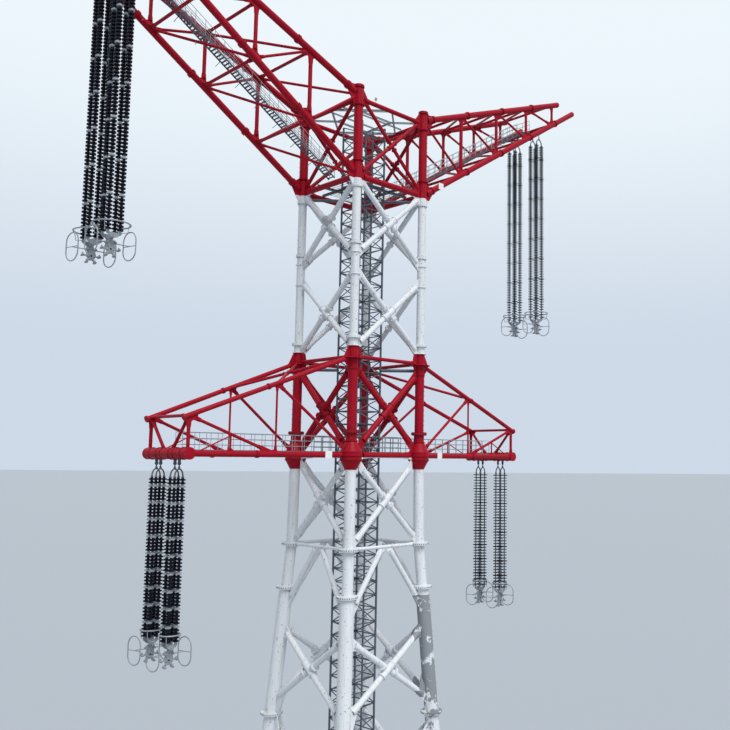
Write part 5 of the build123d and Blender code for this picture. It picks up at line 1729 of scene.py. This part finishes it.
def yokes_and_stem(shape, centre, spread, foot_z):
    """A triangular yoke for each pair of strings, the bar that joins them, and the stem."""
    for sign in (-1, 1):
        y = centre.y + sign * spread
        left = Vector((centre.x - spread, y, foot_z - YOKE_DROP)) - ALONG_ARMS * YOKE_EDGE
        right = Vector((centre.x + spread, y, foot_z - YOKE_DROP)) + ALONG_ARMS * YOKE_EDGE
        lift = UP * YOKE_HALF
        tips = [Vector((centre.x + x, y, foot_z - YOKE_LOW)) for x in (YOKE_TIP, -YOKE_TIP)]
        outline = [left + lift, right + lift, right - lift, *tips, left - lift]
        shape.plate(outline, ALONG_LINE, YOKE_THICKNESS)
    cross_z = foot_z - CROSS_BAR_DROP
    reach = spread + CROSS_BAR_END
    bar_ends = [(centre.x, centre.y + sign * reach, cross_z) for sign in (-1, 1)]
    shape.tube(*bar_ends, CROSS_BAR_RADIUS, 10)
    shape.tube((centre.x, centre.y, cross_z), (centre.x, centre.y, foot_z - STEM_DROP), STEM_RADIUS, 10)


def bundle(shape, middle):
    """The bundle plate and the clamps on its spokes."""
    outline = [*BUNDLE_HALF, *((-across, rise) for across, rise in reversed(BUNDLE_HALF))]
    side, lift = ALONG_ARMS * BUNDLE_RADIUS, UP * BUNDLE_RADIUS
    corners = [middle + side * across + lift * rise for across, rise in outline]
    shape.plate(corners, ALONG_LINE, BUNDLE_THICKNESS)
    for number in range(CLAMPS):
        turn = 2 * pi * number / CLAMPS
        place = middle + side * cos(turn) + lift * sin(turn) * CIRCLE_SQUASH
        shape.beam(middle, place, SPOKE_WIDTH, SPOKE_HEIGHT, ALONG_LINE)
        shape.tube(place - UP * STUD_FOOT, place + UP * STUD_TOP, STUD_RADIUS, 8)
        shape.turned(place, ALONG_LINE, CLAMP, 8)


def shields(shape, centre, reach, z):
    """Two upright racetrack rings with a rod to each and a bar across it."""
    facing = (ALONG_LINE + ALONG_ARMS * SHIELD_TURN).normalized()
    for sign in (-1, 1):
        middle = Vector((centre.x + sign * reach, centre.y, z))
        path = racetrack_path(middle, facing, UP, SHIELD_HALF_WIDTH, SHIELD_HALF_HEIGHT)
        shape.swept(path, SHIELD_TUBE, 8, closed=True)
        shape.tube((centre.x, centre.y, z), middle, SHIELD_ROD, 8)
        width = facing * SHIELD_HALF_WIDTH
        shape.tube(middle - width, middle + width, SHIELD_BAR, 8)


print("clamps a set:", CLAMPS, "on a circle of", BUNDLE_RADIUS)

# %% [markdown]
# The frame gives each set's box and the feet of its strings. The grading ring's size and
# the places of the racetrack rings follow from that box. The hanger lugs are two cheeks
# with round ends on each pin, cut from plate and welded under the arm's end.

# %% Lower fittings and hanger lugs
LUG_HALF_WIDTH, LUG_GAP, LUG_THICKNESS, LUG_ROOT, LUG_STEPS = 0.007, 0.0065, 0.003, 1.5, 6
PIN_HALF, PIN_RADIUS = 0.012, 0.0055
for arm, side, place in SETS:
    name = f"{arm}_{side}_{place}"
    strings = strings_of(f"insulator_set_{name}")
    low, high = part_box(f"insulator_set_{name}")
    centre = (low + high) / 2
    foot_z = min(bar.start.z for bar in strings)
    share = SHIELD_REACH_UPPER if high.z > UPPER_SET_FLOOR else SHIELD_REACH_LOWER
    shape = Shape()
    grading_ring(shape, centre, (high.y - low.y) / 2 - GRADING_INSET, foot_z, strings)
    yokes_and_stem(shape, centre, max(abs(bar.start.x - centre.x) for bar in strings), foot_z)
    bundle(shape, Vector((centre.x, centre.y, low.z + BUNDLE_RADIUS + BUNDLE_RISE)))
    shields(shape, centre, ((high.x - low.x) / 2 - SHIELD_TUBE) * share, foot_z - SHIELD_DROP)
    finish_piece(f"set_fittings_{name}", shape, bright_cast, f"set_{name}")
lugs = Shape()
for points in solids_of("hanger_clevises"):
    low, high = corners_of(points)
    middle = (low + high) / 2
    pin = Vector((middle.x, middle.y, low.z + (high.x - low.x) / 2))
    for sign in (-1, 1):
        facing = ALONG_LINE * LUG_GAP * sign
        top = Vector((middle.x, middle.y, high.z)) + facing
        root = ALONG_ARMS * LUG_HALF_WIDTH * LUG_ROOT
        outline = [top + root, top - root]
        for step in range(LUG_STEPS + 1):
            turn = pi + pi * step / LUG_STEPS
            outline.append(pin + facing + (ALONG_ARMS * cos(turn) + UP * sin(turn)) * LUG_HALF_WIDTH)
        lugs.plate(outline, ALONG_LINE, LUG_THICKNESS)
    lugs.tube(pin - ALONG_LINE * PIN_HALF, pin + ALONG_LINE * PIN_HALF, PIN_RADIUS, 10)
finish_piece("hanger_lugs", lugs, dark_zinc, stands_for=["hanger_clevises"])
report()

# %% [markdown]
# ## Stage, light and camera
# The tower stands on a wide, plain, pale ground. It is far larger than the tower, so that
# its edge doesn't show from any side, and it lies at the frame's own lowest height.

# %% Floor
FLOOR_SIZE = 6000
FLOOR_COLOUR, FLOOR_ROUGHNESS = (0.40, 0.44, 0.48, 1), 0.9
floor_mesh = bpy.data.meshes.new("floor")
half = FLOOR_SIZE / 2
corners = [(-half, -half, 0), (half, -half, 0), (half, half, 0), (-half, half, 0)]
floor_mesh.from_pydata(corners, [], [(0, 1, 2, 3)])
floor = placed("floor", floor_mesh)
floor.location.z = frame_box[0][2]
floor_finish = bpy.data.materials.new("pale floor")
floor_finish.use_nodes = True
shader = floor_finish.node_tree.nodes["Principled BSDF"]
shader.inputs["Base Color"].default_value = FLOOR_COLOUR
shader.inputs["Roughness"].default_value = FLOOR_ROUGHNESS
floor_mesh.materials.append(floor_finish)
print("floor:", FLOOR_SIZE, "across at z", round(floor.location.z, 4))

# %% [markdown]
# The sky of the photo is an even, pale overcast, a little brighter higher up. The camera
# and polished things see that sky, and everything else is lit by one plain grey-blue, so
# that the look of the sky and the strength of its light can be set apart.

# %% World
LIGHT_SKY = (0.58, 0.62, 0.68, 1)
HAZE = (0.73, 0.82, 0.95, 1)
HIGH_SKY = (1.00, 1.09, 1.15, 1)
HAZE_UP_TO, HIGH_FROM = 0.10, 0.46
SKY_STRENGTH = 0.85
world = bpy.data.worlds.new("overcast")
bpy.context.scene.world = world
world.use_nodes = True
tree = world.node_tree
background = tree.nodes["Background"]
ray = tree.nodes.new("ShaderNodeLightPath").outputs
mirrored = maths(tree, "MAXIMUM", ray["Is Glossy Ray"], ray["Is Transmission Ray"])
seen = maths(tree, "MAXIMUM", ray["Is Camera Ray"], mirrored)
toward = tree.nodes.new("ShaderNodeTexCoord").outputs["Generated"]
height = add_node(tree, "ShaderNodeSeparateXYZ", {0: toward}).outputs[2]
sky = mixed(tree, ramp(tree, height, HAZE_UP_TO, HIGH_FROM), HAZE, HIGH_SKY)
tree.links.new(mixed(tree, seen, LIGHT_SKY, sky), background.inputs["Color"])
background.inputs["Strength"].default_value = SKY_STRENGTH
print("sky strength:", SKY_STRENGTH)

# %% [markdown]
# Behind an overcast the sun is a wide, weak patch of light. A wide angle gives shadows
# with no clear edge. It stands high and in front of the tower, a little to the left.

# %% Sun
SUN_ENERGY, SUN_WIDTH, SUN_COLOUR = 2.6, radians(35), (1.0, 0.98, 0.95)
SUN_FROM = Vector((-0.2, -1.0, 1.35))
sun_data = bpy.data.lights.new("soft sun", "SUN")
sun_data.energy = SUN_ENERGY
sun_data.angle = SUN_WIDTH
sun_data.color = SUN_COLOUR
sun = placed("soft sun", sun_data)
sun.rotation_mode = "QUATERNION"
sun.rotation_quaternion = SUN_FROM.to_track_quat("Z", "Y")
print("sun energy:", SUN_ENERGY)

# %% [markdown]
# The camera stands beside the near leg at the level of the lower crossarm and looks
# slightly up, with its frame shifted to the left of its axis. Its place, turn and focal
# length come from a fit of the tower's joints to their places in the picture.

# %% Camera
IMAGE = 730
FOCAL_PIXELS = 847.6
AXIS_PIXEL = (481.5, 368.5)
CAMERA_PLACE = Vector((-5.1266, -6.2152, 30.4657))
YAW, PITCH, ROLL = radians(47.776), radians(6.143), radians(0.344)
SENSOR = 36
camera_data = bpy.data.cameras.new("camera")
camera_data.sensor_width = SENSOR
camera_data.lens = FOCAL_PIXELS / IMAGE * SENSOR
camera_data.shift_x = (IMAGE / 2 - AXIS_PIXEL[0]) / IMAGE
camera_data.shift_y = (AXIS_PIXEL[1] - IMAGE / 2) / IMAGE
camera_data.clip_start, camera_data.clip_end = 0.1, 2000
camera = placed("camera", camera_data)
forward = Vector((sin(YAW) * cos(PITCH), cos(YAW) * cos(PITCH), sin(PITCH)))
right = Vector((cos(YAW), -sin(YAW), 0))
up = right.cross(forward)
level_right = right * cos(ROLL) + up * sin(ROLL)
level_up = up * cos(ROLL) - right * sin(ROLL)
turn = Matrix((level_right, level_up, -forward)).transposed()
camera.matrix_world = Matrix.Translation(CAMERA_PLACE) @ turn.to_4x4()
bpy.context.scene.camera = camera
bpy.context.scene.view_settings.view_transform = "Standard"
print("lens:", round(camera_data.lens, 2), "mm at", tuple(round(value, 3) for value in CAMERA_PLACE))

# %% [markdown]
# The pieces and their triangles are counted.

# %% Count the pieces and finish
print("pieces:", len(made), "triangles:", sum(made.values()))
